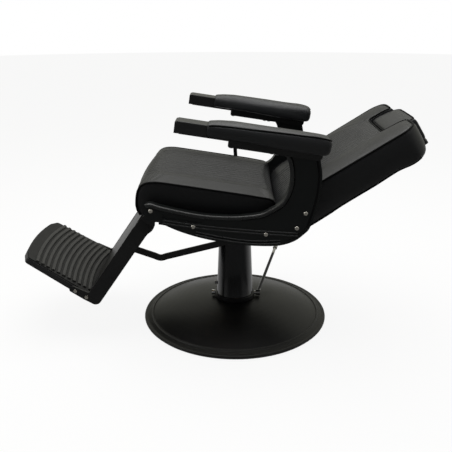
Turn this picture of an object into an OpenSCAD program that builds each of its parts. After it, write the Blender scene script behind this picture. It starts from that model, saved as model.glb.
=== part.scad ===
// Hydraulic barber chair, laid back, with a lever pump and a swinging footrest.
// X runs across the chair (+X is the sitter's left), Y from front (-Y) to back, Z is up.
// The origin is the middle of the round base, on the floor. All lengths are in millimetres.

/* [Base] */
// Diameter of the round base
base_d = 660; // [560:10:760]
// Height of the dome at its middle
dome_h = 78; // [66:1:90]
// Height of the rim ring
rim_h = 24; // [20:1:34]
// Width of the rim ring
rim_w = 33; // [26:1:42]
// Wall of the cast base plate
base_wall = 12; // [8:1:16]
// Height of the rubber ring under the rim
floor_ring_h = 4; // [3:0.5:6]
// Number of bolts that hold the pump
flange_bolts_n = 6; // [4:2:8]

/* [Pump] */
// Diameter of the shroud at its foot
shroud_foot_d = 130; // [120:1:140]
// Diameter of the shroud at its top
shroud_top_d = 109; // [100:1:118]
// Height of the shroud's top above the floor
shroud_top_z = 306; // [290:1:312]
// Wall of the shroud
shroud_wall = 3; // [2:0.5:5]
// Diameter of the collar at the pump's foot
collar_d = 144; // [136:1:160]
// Diameter of the pump cylinder
barrel_d = 92; // [84:1:98]
// Diameter of the ram
ram_d = 54; // [44:1:60]
// How far the pump lifts the seat
lift_travel = 150; // [100:5:150]
// Height of the pedal shaft
pedal_shaft_z = 86; // [84:1:88]
// Diameter of the pedal shaft
pedal_shaft_d = 12; // [8:1:14]
// Diameter of the pedal rod
pedal_rod_d = 11; // [8:1:14]
// How far the pedal rod reaches sideways
pedal_reach = 330; // [280:5:360]
// How far the pedal rod runs to the back over its reach
pedal_back = 88; // [60:1:110]
// How far the pedal rod rises over its reach
pedal_rise = 70; // [50:1:80]

/* [Saddle] */
// Height of the tilt pin above the floor
tilt_z = 400; // [398:1:404]
// Place of the tilt pin in front of the column
tilt_y = -40; // [-60:1:-30]
// Angle by which the seat leans back
seat_tilt = 8.5; // [0:0.5:9]
// Width of the saddle plate
saddle_w = 176; // [168:1:178]
// Length of the saddle plate
saddle_len = 190; // [170:1:200]
// Thickness of the saddle plate
saddle_t = 8; // [6:1:10]
// Diameter of the tilt pin
tilt_pin_d = 16; // [12:1:18]

/* [Seat] */
// Width of the seat cushion
seat_w = 500; // [460:5:540]
// Length of the seat cushion
seat_len = 431; // [410:1:440]
// Place of the seat's rear end behind the column
seat_rear = 113; // [100:1:115]
// Height of the seat's upper seam
seat_top = 541; // [525:1:560]
// Depth of the padded lip at the front, below the underside
seat_lip = 19; // [10:1:22]
// Width of the channelled middle panel
seat_panel_w = 300; // [240:10:340]
// Number of sewn channels on the seat
seat_channels = 12; // [8:1:14]
// Height of a sewn channel
channel_h = 2.2; // [1:0.1:3]
// Size of the square frame tubes
tube = 26; // [20:1:28]
// Thickness of the frame's side plates
side_t = 6; // [4:1:8]

/* [Side panels] */
// Gap between the cushion and the side plate
side_gap = 12; // [10:1:16]
// Thickness of a side panel
panel_t = 26; // [20:1:30]
// Height of the panel's lower edge
panel_low = 397; // [390:1:404]
// Height at which the panel carries the armrest
panel_high = 690; // [670:1:710]
// Height of the raised rim and beads
bead_h = 4; // [2:0.5:6]
// Width of the raised rim
rim_bead_w = 9; // [6:1:12]

/* [Armrests] */
// Width of an arm pad
pad_w = 80; // [70:1:90]
// Height of an arm pad at its crown
pad_h = 51; // [44:1:58]
// Length of an arm pad
pad_len = 360; // [320:5:380]
// Width of the front block
block_w = 66; // [56:1:72]
// Length of the front block
block_len = 94; // [70:1:110]
// Height of the front block
block_h = 36; // [30:1:40]
// Thickness of the arm bracket
bracket_t = 23; // [18:1:26]

/* [Back] */
// Width of the backrest
back_w = 470; // [430:5:480]
// Length of the backrest from its pivot to its top
back_len = 443; // [430:1:470]
// Thickness of the cushion in front of the pivot
back_front_t = 50; // [44:1:56]
// Thickness of the cushion behind the pivot
back_rear_t = 46; // [40:1:50]
// Lean of the backrest behind the seat's upright
back_lean = 49.1; // [30:0.1:52]
// Place of the recline pivot behind the column
recline_y = 187; // [184:1:192]
// Height of the recline pivot
recline_z = 505; // [500:1:510]
// Diameter of the torque tube
torque_d = 30; // [26:1:32]
// Diameter of the torque tube's journals
journal_d = 24; // [18:1:25]
// Width of the channelled panel on the back
back_panel_w = 240; // [200:10:280]
// Number of sewn channels on the back
back_channels = 11; // [7:1:13]

/* [Headrest] */
// Width of the headrest
head_w = 206; // [180:2:230]
// Height of the headrest
head_h = 102; // [90:1:120]
// Gap round the headrest
head_gap = 5; // [4:0.5:8]
// How far the headrest draws out
head_travel = 100; // [60:5:120]

/* [Footrest] */
// Distance of the footrest pivot behind the seat's front
foot_back = 57; // [52:1:62]
// Height of the footrest pivot
foot_z = 423; // [419:1:424]
// Angle of the footrest arms ahead of the seat's vertical
foot_raise = 26.1; // [10:0.1:30]
// Length of the footrest arms from the pivot to the foot plate's underside
foot_len = 385; // [365:1:400]
// Width between the arms' outer faces
foot_w = 404; // [370:2:420]
// Width of an arm
arm_w = 49; // [40:1:56]
// Thickness of an arm
arm_t = 8; // [6:1:10]
// Reach of the foot plate's corners ahead of the pivot line
plate_reach = 267; // [220:1:280]
// Thickness of the foot plate
plate_t = 19; // [14:1:24]
// Slope of the foot plate against the arms' square
plate_slope = 3; // [0:0.5:6]
// Forward bow of the toe edge and the ribs
toe_bow = 18; // [8:1:26]
// Number of ribs on the rubber mat
ribs_n = 11; // [7:1:12]
// Spacing of the ribs
rib_pitch = 19.5; // [16:0.5:21]
// Height of a rib
rib_h = 6; // [3:0.5:8]

/* [Linkage] */
// Place across the chair of the footrest link
link_x = 100; // [98:1:108]
// Width of the link bar
link_w = 21; // [16:1:24]
// Thickness of the link bar
link_t = 8; // [6:1:9]
// Distance of the link's front pin below the footrest pivot
link_pin_u = 188; // [180:1:196]
// Distance of the link's rear pin below the recline pivot
link_drop = 82; // [70:1:90]
// Distance of the link's rear pin in front of the recline pivot
link_lead = 16; // [10:1:20]
// Diameter of the link pins
link_pin_d = 12; // [8:1:12]
// Play of the link's rear eye on its pin
link_play = 1.7; // [1.5:0.1:2.4]
// Place across the chair of the recline lock
lock_x = 106; // [104:1:112]
// Distance of the lock's rear pin below the recline pivot
lock_drop = 105; // [98:1:108]
// Diameter of the lock's tube
lock_d = 24; // [20:1:26]

/* [Hidden] */
$fn = 64;
run = 0.05;                                 // radial clearance of a running fit
e = 0.5;                                    // overlap of a cut past a face
base_r = base_d / 2;
ring_r = base_r - rim_w;
dome_z0 = rim_h - 2;
collar_top = pedal_shaft_z + pedal_shaft_d / 2 + 1;
ram_r = ram_d / 2;
bore_r = ram_r + 8;
barrel_top = shroud_top_z - 6;
spigot_r = 20;
spigot_len = 30;
plate_top = tilt_z - 20;
hub_h = 24;
washer_h = 3;
ram_top = plate_top - saddle_t - hub_h - washer_h;
piston_h = 14;
ram_low = collar_top + 8;
bush_len = barrel_top - ram_low - piston_h - lift_travel - 4;
stop_x = saddle_w / 2 - 12;
seat_front = seat_rear - seat_len;
rail_x = 64;
rail_low = tilt_z + 12;
rail_w = 24;
seat_base = rail_low + tube;
front_tube_y = seat_front + 83;
foot_y = seat_front + foot_back;
rear_tube_y = seat_rear - 29;
side_in = seat_w / 2 + side_gap;
side_out = side_in + side_t;
panel_out = side_out + panel_t;
arm_x = (side_out + panel_out) / 2;
pad_low = panel_high + bracket_t;
pad_front = seat_front + 190;
pad_rear = pad_front + pad_len;
board_t = 12;
arm_in = foot_w / 2 - arm_t;
joggle = 12;
lug_t = 10;
lug_r = 14;
foot_shaft_r = 8;
lug_x = foot_w / 2 - joggle + 4;
head_low = back_len - 92;
notch_low = head_low - head_gap;
notch_r = head_w / 2 + head_gap;
post_x = 50;
post_w = 20;
post_t = 4;
post_y = 32;
cover_top = back_len - 116;
link_pin_r = link_pin_d / 2;
lock_y0 = tilt_y - 100;
lock_z0 = rail_low - 17;
lock_pin_r = 5;
lever_t = 8;
screw_spots = [[seat_front + 54, panel_low + 63], [seat_front + 188, panel_low + 33],
  [recline_y - 95, panel_low + 42], [recline_y - 6, recline_z - 32], [recline_y + 12, recline_z + 18]];
lever_y = 2;
lever_z = panel_low + 35;

// ---------- geometry helpers ----------

// Points of an arc about c from angle a0 to a1.
function arc(c, r, a0, a1, n) =
  [for (i = [0:n]) c + r * [cos(a0 + (a1 - a0) * i / n), sin(a0 + (a1 - a0) * i / n)]];

// One point of a smooth curve through b and c, a share t along it.
function blend(a, b, c, d, t) =
  (2 * b + (c - a) * t + (2 * a - 5 * b + 4 * c - d) * t * t + (3 * b - a - 3 * c + d) * t * t * t) / 2;

// A smooth open curve through the points p, n steps between two of them.
function smooth(p, n) =
  [for (i = [0:len(p) - 2], k = [0:n - (i == len(p) - 2 ? 0 : 1)])
    blend(p[max(i - 1, 0)], p[i], p[i + 1], p[min(i + 2, len(p) - 1)], k / n)];

// The open path p moved sideways by d, to its left.
function beside(p, d) =
  [for (i = [0:len(p) - 1])
    let (t = p[min(i + 1, len(p) - 1)] - p[max(i - 1, 0)], u = t / norm(t))
    p[i] + d * [-u[1], u[0]]];

function reversed(p) = [for (i = [len(p) - 1:-1:0]) p[i]];

// Extrudes a side outline, drawn as [y, z], from x0 to x1.
module slab(x0, x1) {
  translate([x0, 0, 0]) rotate([90, 0, 90]) linear_extrude(x1 - x0) children();
}

// A round bar along X from x0 to x1 with its axis at [y, z].
module bar_x(x0, x1, p, r) {
  translate([x0, p[0], p[1]]) rotate([0, 90, 0]) cylinder(r = r, h = x1 - x0);
}

// A round bar from point a to point b.
module bar(a, b, r) {
  v = b - a;
  translate(a) rotate([0, acos(v[2] / norm(v)), atan2(v[1], v[0])]) cylinder(r = r, h = norm(v));
}

// A flat rounded rectangle.
module tile(w, l, r) {
  polygon(concat(
    arc([w / 2 - r, l / 2 - r], r, 0, 90, 6), arc([r - w / 2, l / 2 - r], r, 90, 180, 6),
    arc([r - w / 2, r - l / 2], r, 180, 270, 6), arc([w / 2 - r, r - l / 2], r, 270, 360, 6)));
}

// A closed skin over rings of points that all have the same count. The ends are fans about
// their middles, or the triangles that end_faces lists for one ring.
module skin(rings, end_faces = []) {
  n = len(rings);
  m = len(rings[0]);
  ends = [for (r = [rings[0], rings[n - 1]]) [for (k = [0:2]) [for (q = r) q[k]] * [for (q = r) 1] / m]];
  sides = [for (i = [0:n - 2], j = [0:m - 1])
    let (a = i * m + j, b = i * m + (j + 1) % m, c = b + m, d = a + m)
    each [[b, a, d], [b, d, c]]];
  fans = [for (j = [0:m - 1])
    let (k = (j + 1) % m, t = (n - 1) * m)
    each [[j, k, n * m], [t + k, t + j, n * m + 1]]];
  caps = [for (f = end_faces) each [f, [for (k = [2:-1:0]) f[k] + (n - 1) * m]]];
  polyhedron(concat([for (r = rings) each r], len(end_faces) > 0 ? [] : ends),
    concat(sides, len(end_faces) > 0 ? caps : fans));
}

// Places across a cushion: plain bolsters beside a panel of sewn channels.
function across(w, panel, count) = concat(
  [-w, -w + 5, -w + 18, -(w + panel) / 2, -panel - 8],
  [for (i = [0:count * 3]) -panel + 2 * panel * i / (count * 3)],
  [panel + 8, (w + panel) / 2, w - 18, w - 5, w]);

// Height of the cover over the seam at place x: a crown, and the sewn channels.
function cover_h(x, w, panel, count, crown) =
  crown * (1 - pow(abs(x) / w, 6))
  + (abs(x) < panel ? channel_h * (abs(sin(180 * (x + panel) * count / (2 * panel))) - 1) : 0);

// One ring of a cushion: the covered side, and a bulged edge down to the other side.
// It gives [x, height] pairs, clockwise as seen from the ring's front.
function cushion_ring(w, low, high, panel, count, crown, bulge) = concat(
  [[w - 7, low], [7 - w, low]],
  [for (t = [0.15, 0.35, 0.6, 0.85]) [-w - bulge * sin(180 * t) + 5 * (1 - t), low + (high - low) * t]],
  [for (x = across(w, panel, count)) [x, high + cover_h(x, w, panel, count, crown)]],
  [for (t = [0.85, 0.6, 0.35, 0.15]) [w + bulge * sin(180 * t) - 5 * (1 - t), low + (high - low) * t]]);

// ---------- places ----------

// Everything carried by the seat frame is drawn level and leans about the tilt pin.
module at_seat() {
  translate([0, tilt_y, tilt_z]) rotate([-seat_tilt, 0, 0]) translate([0, -tilt_y, -tilt_z]) children();
}

// The back is drawn upright, with its pivot at the origin and its front to -Y.
module at_back() {
  at_seat() translate([0, recline_y, recline_z]) rotate([-back_lean, 0, 0]) children();
}

// The footrest is drawn hanging straight down from its pivot, with its toe to -Y.
module at_foot() {
  at_seat() translate([0, foot_y, foot_z]) rotate([-foot_raise, 0, 0]) children();
}

module sided(side) {
  if (side > 0) children();
  else mirror([1, 0, 0]) children();
}

// ---------- base ----------

// Height of the dome's skin at radius r.
function dome(r) = dome_h - (dome_h - dome_z0) * pow(r / ring_r, 2);

// The bolts keep clear of the pedal shaft, which crosses the collar from front to back.
bolt_turns = [for (s = [0, 180], i = [0:flange_bolts_n / 2 - 1]) s - 55 + 110 * i / (flange_bolts_n / 2 - 1)];

// Draws children at each bolt that holds the pump to the base plate.
module at_bolts() {
  for (a = bolt_turns) rotate([0, 0, a]) translate([collar_d / 2 - 14, 0, 0]) children();
}

module floor_ring() {
  color("#1b1b1c") rotate_extrude($fn = 128)
    translate([ring_r + 3, 0]) square([rim_w - 11, floor_ring_h]);
}

module base_plate() {
  steps = [for (i = [0:12]) 24 + (ring_r - 24) * i / 12];
  skin_line = [for (r = steps) [r, dome(r)]];
  inner_line = [for (i = [11:-1:0]) [steps[i], dome(steps[i]) - base_wall]];
  color("#26282a") difference() {
    rotate_extrude($fn = 128)
      polygon(concat(skin_line, [[ring_r, floor_ring_h + 1], [ring_r - 8, floor_ring_h + 1]], inner_line));
    at_bolts() translate([0, 0, 40]) cylinder(r = 4.2, h = 60);
  }
}

module rim_ring() {
  color("#303234") rotate_extrude($fn = 128) polygon(concat(
    [[ring_r, floor_ring_h], [base_r - 4, floor_ring_h]],
    arc([base_r - 6.5, floor_ring_h + 6.5], 6.5, -65, 60, 8),
    [[base_r - 12, rim_h - 9.5], [ring_r + 8, rim_h - 5]],
    arc([ring_r + 3, rim_h - 3], 3, 20, 180, 8)));
}

module pump_collar() {
  low = dome(collar_d / 2) - 3;
  color("#202224") difference() {
    rotate_extrude() polygon([[0, dome_h - base_wall + 1], [23.5, dome_h - base_wall + 1], [23.5, dome_h],
      [collar_d / 2 - 30, dome_h], [collar_d / 2 - 4, dome(collar_d / 2 - 4) + 0.1],
      [collar_d / 2, low + 5], [collar_d / 2, collar_top - 2], [collar_d / 2 - 2, collar_top],
      [shroud_foot_d / 2 - shroud_wall - 1, collar_top],
      [shroud_foot_d / 2 - shroud_wall - 1, collar_top + 10], [0, collar_top + 10]]);
    translate([0, 0, collar_top]) cylinder(r = barrel_d / 2, h = 20);
    translate([0, -collar_d, pedal_shaft_z]) rotate([-90, 0, 0])
      cylinder(r = pedal_shaft_d / 2 + run, h = 2 * collar_d);
    at_bolts() translate([0, 0, 40]) cylinder(r = 4.2, h = collar_top - 45);
  }
}

module flange_bolts() {
  seat_z = dome(collar_d / 2 - 14) - base_wall;
  color("#8d8f92") at_bolts() {
    translate([0, 0, seat_z - 7]) cylinder(r = 7, h = 6.2, $fn = 6);
    translate([0, 0, seat_z - 2]) cylinder(r = 4, h = collar_top - 6 - seat_z);
  }
}

module pump_cylinder() {
  color("#55585b") difference() {
    translate([0, 0, collar_top]) cylinder(r = barrel_d / 2, h = barrel_top - collar_top);
    translate([0, 0, collar_top + 6]) cylinder(r = bore_r, h = barrel_top);
  }
}

module guide_bush() {
  color("#a9803f") translate([0, 0, barrel_top - bush_len]) difference() {
    cylinder(r = bore_r, h = bush_len);
    translate([0, 0, -e]) cylinder(r = ram_r + run, h = bush_len + 1);
  }
}

module column_shroud() {
  top = shroud_top_d / 2;
  foot = shroud_foot_d / 2;
  color("#17191b") difference() {
    rotate_extrude($fn = 96) polygon([[foot, collar_top], [top + 2, shroud_top_z - 4], [top, shroud_top_z],
      [ram_r + 2, shroud_top_z], [ram_r + 2, shroud_top_z - 4], [top - shroud_wall, shroud_top_z - 5],
      [foot - shroud_wall, collar_top]]);
    translate([0, 0, collar_top + 33]) rotate([90, 0, 0]) cylinder(r = 4, h = 100);
  }
}

module release_valve() {
  color("#3a3c3f") translate([0, 0, collar_top + 33]) rotate([90, 0, 0]) {
    translate([0, 0, barrel_d / 2]) cylinder(r = 4, h = 24);
    translate([0, 0, barrel_d / 2 + 20]) cylinder(r = 6.5, h = 7);
  }
}

// ---------- pump pedal ----------

hub_y = collar_d / 2 + 12;
pedal_root = [0, hub_y, pedal_shaft_z];
pedal_end = [-pedal_reach, hub_y + pedal_back, pedal_shaft_z + pedal_rise];
pedal_dir = (pedal_end - pedal_root) / norm(pedal_end - pedal_root);

module pedal_shaft() {
  color("#b9bbbe") translate([0, -collar_d / 2 - 12, pedal_shaft_z]) rotate([-90, 0, 0]) {
    cylinder(r = pedal_shaft_d / 2, h = collar_d + 32);
    cylinder(r = pedal_shaft_d / 2 + 3, h = 11);
  }
}

module pedal_rod() {
  color("#c4c6c8") difference() {
    union() {
      translate([0, hub_y - 8, pedal_shaft_z]) rotate([-90, 0, 0]) cylinder(r = 10, h = 16);
      bar(pedal_root + 6 * pedal_dir, pedal_end + 40 * pedal_dir, pedal_rod_d / 2);
      bar(pedal_end - 45 * pedal_dir, pedal_end - 4 * pedal_dir, pedal_rod_d / 2 + 3);
    }
    translate([0, hub_y - 20, pedal_shaft_z]) rotate([-90, 0, 0]) cylinder(r = pedal_shaft_d / 2, h = 60);
  }
}

module pedal_pad() {
  turn = atan2(pedal_dir[1], pedal_dir[0]);
  color("#1d1e20") translate(pedal_end) rotate([0, 0, turn]) rotate([0, -asin(pedal_dir[2]), 0])
    difference() {
      union() {
        translate([26, 0, -9]) linear_extrude(17) tile(52, 46, 12);
        for (k = [0:4]) translate([8 + 9 * k, -18, 8]) cube([4, 36, 2]);
      }
      translate([-e, 0, 0]) rotate([0, 90, 0]) cylinder(r = pedal_rod_d / 2, h = 40 + e);
    }
}

// ---------- ram and saddle ----------

module ram() {
  color("#cfd1d3") {
    translate([0, 0, ram_low]) cylinder(r = bore_r - run, h = piston_h);
    translate([0, 0, ram_low + piston_h - e]) cylinder(r = ram_r, h = ram_top - ram_low - piston_h + e);
    translate([0, 0, ram_top - e]) cylinder(r = spigot_r, h = spigot_len + washer_h + e);
  }
}

module thrust_washer() {
  color("#a9803f") translate([0, 0, ram_top]) difference() {
    cylinder(r = ram_r, h = washer_h - 0.2);
    translate([0, 0, -e]) cylinder(r = spigot_r, h = washer_h + 1);
  }
}

module saddle() {
  cheek_x = rail_x - 12;
  color("#2a2c2e") difference() {
    union() {
      translate([0, 0, plate_top - saddle_t - hub_h]) cylinder(r = 36, h = hub_h + e);
      translate([0, 0, plate_top - saddle_t]) linear_extrude(saddle_t) tile(saddle_w, saddle_len, 14);
      for (s = [-1, 1]) sided(s) slab(cheek_x, cheek_x + 8) polygon(concat(
        [[tilt_y - 36, plate_top - e], [tilt_y + 36, plate_top - e]],
        arc([tilt_y, tilt_z], 14, 0, 180, 12)));
    }
    translate([0, 0, plate_top - saddle_t - hub_h - e]) cylinder(r = spigot_r + run, h = 60);
    bar_x(-100, 100, [tilt_y, tilt_z], tilt_pin_d / 2);
  }
}

module tilt_pin() {
  color("#8f9194") {
    bar_x(-rail_x - 16, rail_x + 16, [tilt_y, tilt_z], tilt_pin_d / 2);
    for (s = [-1, 1]) sided(s) bar_x(rail_x + 9, rail_x + 13, [tilt_y, tilt_z], tilt_pin_d / 2 + 3);
  }
}

module tilt_stops() {
  reach = saddle_len / 2 - 15;
  rest_z = tilt_z + (rail_low - tilt_z) / cos(seat_tilt) - (reach + 8 - tilt_y) * tan(seat_tilt);
  rear_h = rest_z - plate_top - 0.5;
  front_h = rail_low - plate_top - 0.5;
  color("#1a1a1b") for (x = [-stop_x, stop_x]) {
    translate([x, reach, plate_top]) cylinder(r = 8, h = rear_h);
    translate([x, -reach, plate_top]) cylinder(r = 8, h = front_h);
  }
}

// ---------- seat frame ----------

// Side outline of the plate that carries a side panel, the cross tubes and the back.
side_outline = concat(
  [[seat_front + 42, rail_low + 58], [seat_front + 42, rail_low + 38], [seat_front + 78, rail_low + 21],
    [front_tube_y - 2, rail_low],
    [rear_tube_y + tube, rail_low], [recline_y - 40, rail_low + 14], [recline_y, rail_low + 42]],
  arc([recline_y, recline_z], 30, -10, 170, 12),
  [[recline_y - 30, recline_z - 36], [recline_y - 70, rail_low + 44], [rear_tube_y, rail_low + 38],
    [front_tube_y + 30, rail_low + 38], [seat_front + 75, rail_low + 58]]);

module side_plate(side) {
  color("#242628") at_seat() sided(side) difference() {
    slab(side_in, side_out) polygon(side_outline);
    bar_x(side_in - e, side_out + e, [recline_y, recline_z], journal_d / 2 + run);
    for (p = screw_spots) bar_x(side_in - e, side_out + e, p, 3.5);
    if (side < 0) bar_x(side_in - e, side_out + e, [lever_y, lever_z], 6 + run);
  }
}

module front_cross_tube() {
  color("#242628") at_seat() difference() {
    union() {
      translate([-side_in, front_tube_y, rail_low]) cube([2 * side_in, tube, tube]);
      for (s = [-1, 1]) sided(s) slab(lug_x, lug_x + lug_t) polygon(concat(
        [[front_tube_y + e, rail_low + tube - 3], [front_tube_y + e, rail_low]],
        arc([foot_y, foot_z], lug_r, -100, -260, 12)));
    }
    translate([-side_in - e, front_tube_y + 3, rail_low + 3]) cube([2 * side_in + 1, tube - 6, tube - 6]);
    bar_x(-lug_x - 20, lug_x + 20, [foot_y, foot_z], foot_shaft_r);
  }
}

module rear_cross_tube() {
  color("#242628") at_seat() difference() {
    translate([-side_in, rear_tube_y, rail_low]) cube([2 * side_in, tube, tube]);
    translate([-side_in - e, rear_tube_y + 3, rail_low + 3]) cube([2 * side_in + 1, tube - 6, tube - 6]);
  }
}

module frame_rail(side) {
  y0 = front_tube_y + tube;
  color("#242628") at_seat() difference() {
    union() {
      sided(side) translate([rail_x, y0, rail_low]) cube([rail_w, rear_tube_y - y0, tube]);
      sided(side) slab(rail_x, rail_x + 8) polygon(concat(
        [[tilt_y + 26, rail_low + 2], [tilt_y - 26, rail_low + 2]],
        arc([tilt_y, tilt_z], 15, 190, 350, 12)));
      if (side < 0) {
        sided(side) slab(rail_x + rail_w - 8, rail_x + rail_w) polygon(concat(
          [[lock_y0 + 24, rail_low + 2], [lock_y0 - 24, rail_low + 2]],
          arc([lock_y0, lock_z0], 12, 190, 350, 10)));
        bar_x(-lock_x - 8, -rail_x - rail_w + 4, [lock_y0, lock_z0], lock_pin_r);
      }
    }
    bar_x(-100, 100, [tilt_y, tilt_z], tilt_pin_d / 2 + run);
  }
}

module footrest_shaft() {
  color("#9a9c9f") at_seat() bar_x(-lug_x - lug_t - 4, lug_x + lug_t + 4, [foot_y, foot_z], foot_shaft_r);
}

module seat_board() {
  color("#7b5f42") at_seat() translate([0, (seat_front + 45 + seat_rear - 8) / 2, seat_base])
    linear_extrude(board_t) tile(seat_w - 40, seat_len - 53, 20);
}

module seat_cushion() {
  // Side profile, front to rear: [place behind the front, low, high, drawn in, share of the crown]
  profile = [
    [0, 34, 51, 16, 0], [2, 14, 37, 9, 0.2], [8, -3, 24, 4, 0.4], [18, -14, 13, 1, 0.6],
    [30, -seat_lip, 7, 0, 0.8], [34, -seat_lip, 5.5, 0, 0.9], [34.5, 0, 5.5, 0, 0.9], [57, 0, 1, 0, 1],
    [160, 0, 0, 0, 1], [300, 0, 0, 0, 1], [405, 0, 2, 0, 1], [418, 0, 8, 2, 0.8], [427, 4, 22, 6, 0.4],
    [431, 14, 38, 12, 0]];
  stretch = seat_len / 431;
  color("#222325") at_seat() difference() {
    skin([for (p = profile)
      let (y = seat_front + p[0] * stretch, w = seat_w / 2 - p[3])
      [for (q = cushion_ring(w, seat_base + p[1], seat_top - p[2], seat_panel_w / 2, seat_channels, 6 * p[4], 4))
        [q[0], y - (p[0] < 100 ? 12 * (1 - pow(q[0] / w, 2)) * (1 - p[0] / 100) : 0), q[1]]]]);
    translate([0, (seat_front + 45 + seat_rear - 8) / 2, seat_base - e])
      linear_extrude(board_t + e) tile(seat_w - 39.4, seat_len - 52.4, 20);
  }
}

// ---------- side panels ----------

// Upper edge of a side panel, from its nose to the arm, and its lower and rear edge back again.
panel_inner = smooth([[seat_front + 35, panel_low + 81], [seat_front + 52, panel_low + 86],
  [seat_front + 82, panel_low + 81], [seat_front + 144, panel_low + 76], [seat_front + 204, panel_low + 74],
  [seat_front + 264, panel_low + 78], [seat_front + 323, panel_low + 87], [seat_front + 381, panel_low + 103],
  [recline_y - 97, recline_z + 12], [recline_y - 70, recline_z + 35], [recline_y - 57, recline_z + 62],
  [recline_y - 51, panel_high - 89], [recline_y - 55, panel_high - 53], [recline_y - 67, panel_high - 18],
  [recline_y - 80, panel_high]], 4);
panel_outer = smooth([[recline_y + 24, panel_high], [recline_y + 37, panel_high - 39],
  [recline_y + 41, panel_high - 69], [recline_y + 43, recline_z + 70], [recline_y + 39, recline_z + 16],
  [recline_y + 32, recline_z - 26], [recline_y + 20, recline_z - 46], [recline_y - 6, panel_low + 34],
  [recline_y - 48, panel_low + 13], [seat_front + 397, panel_low + 2],
  [seat_front + 336, panel_low - 3], [seat_front + 275, panel_low - 3], [seat_front + 213, panel_low + 1],
  [seat_front + 151, panel_low + 11], [seat_front + 104, panel_low + 24], [seat_front + 82, panel_low + 31],
  [seat_front + 64, panel_low + 29], [seat_front + 45, panel_low + 31], [seat_front + 35, panel_low + 49]], 4);

// A raised band of width w along the path p, closed with its own offset.
module band(p, w) {
  polygon(concat(p, reversed(beside(p, -w))));
}

// A part of path p, from share a to share b.
function part_of(p, a, b) = [for (i = [round(a * (len(p) - 1)):round(b * (len(p) - 1))]) p[i]];

bead_line = smooth([[seat_front + 94, panel_low + 38], [seat_front + 214, panel_low + 39],
  [seat_front + 356, panel_low + 46.5], [recline_y - 1, panel_low + 59]], 4);
slot_line = smooth([[seat_front + 198, panel_low + 14], [seat_front + 300, panel_low + 9],
  [seat_front + 380, panel_low + 12], [recline_y - 48, panel_low + 26]], 4);

module side_panel(side) {
  color("#26292b") at_seat() sided(side) difference() {
    union() {
      slab(side_out, panel_out) polygon(concat(panel_inner, panel_outer));
      slab(panel_out - e, panel_out + bead_h) band(part_of(panel_inner, 0, 0.98), rim_bead_w);
      for (d = [0, 9]) slab(panel_out - e, panel_out + 2) band(beside(bead_line, 3 - d), 3);
      slab(panel_out - e, panel_out + 2) band(beside(slot_line, -3.5), 3);
    }
    slab(panel_out - 1, panel_out + 10) polygon([[recline_y - 140, panel_high], [recline_y + 40, panel_high],
      [recline_y + 40, panel_high + 30], [recline_y - 140, panel_high + 30]]);
    slab(panel_out - 3, panel_out + 10) band(beside(slot_line, 3), 6);
    slab(panel_out - 2, panel_out + 10) band(beside(part_of(panel_outer, 0.02, 0.42), -9), 2.5);
    slab(panel_out - 3, panel_out + 10) polygon([[seat_front + 92, panel_low + 46],
      [seat_front + 92, panel_low + 62], [seat_front + 200, panel_low + 65],
      [seat_front + 214, panel_low + 55], [seat_front + 214, panel_low + 46.5]]);
    bar_x(side_out - 1, side_out + 4, [recline_y, recline_z], journal_d / 2 + 1);
    for (p = screw_spots) bar_x(side_out - 1, panel_out + 10, p, 4.1);
    for (p = screw_spots) bar_x(panel_out, panel_out + 10, p, 7);
    if (side < 0) bar_x(side_out - 1, panel_out + 10, [lever_y, lever_z], 6 + run);
  }
}

module panel_screws() {
  color("#d5d7d9") at_seat() for (s = [-1, 1], p = screw_spots) sided(s) {
    bar_x(side_in + 0.5, panel_out + 1, p, 3.5);
    translate([panel_out, p[0], p[1]]) rotate([0, 90, 0]) rotate_extrude($fn = 32)
      polygon(concat([[0, 0], [6.5, 0]], arc([0, -5], 9, 43.8, 90, 4)));
  }
}

// ---------- armrests ----------

arm_bolt_y = [pad_front + 75, recline_y - 120, recline_y - 104];

module arm_bracket(side) {
  y0 = pad_front + 65;
  y1 = recline_y + 26;
  color("#1e2022") at_seat() sided(side) difference() {
    union() {
      slab(arm_x - 24, arm_x + 24) polygon(concat(
        [[y0, pad_low], [y0, panel_high + 5]], arc([y0 + 5, panel_high + 5], 5, 180, 270, 4),
        [[y1 - 12, panel_high]], arc([y1 - 12, panel_high + 12], 12, -90, 0, 6), [[y1, pad_low]]));
      slab(arm_x - 20, arm_x + 20) polygon([[pad_front - 80, pad_low - 6], [y0 + 1, pad_low - 6],
        [y0 + 1, pad_low], [pad_front - 80, pad_low]]);
    }
    for (y = arm_bolt_y) translate([arm_x, y, panel_high - 1]) cylinder(r = 3.2, h = 18);
  }
}

module arm_block(side) {
  r = 3;
  color("#141516") at_seat() sided(side) translate([arm_x, pad_front, pad_low - 3]) difference() {
    rotate([90, 0, 0]) linear_extrude(block_len) translate([0, block_h / 2]) tile(block_w, block_h, r);
    translate([-20.3, -block_len + 13.7, -1]) cube([40.6, block_len, 4]);
    translate([0, -block_len, block_h]) rotate([20, 0, 0]) cube([block_w + 2, 14, 2 * r], center = true);
  }
}

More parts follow.
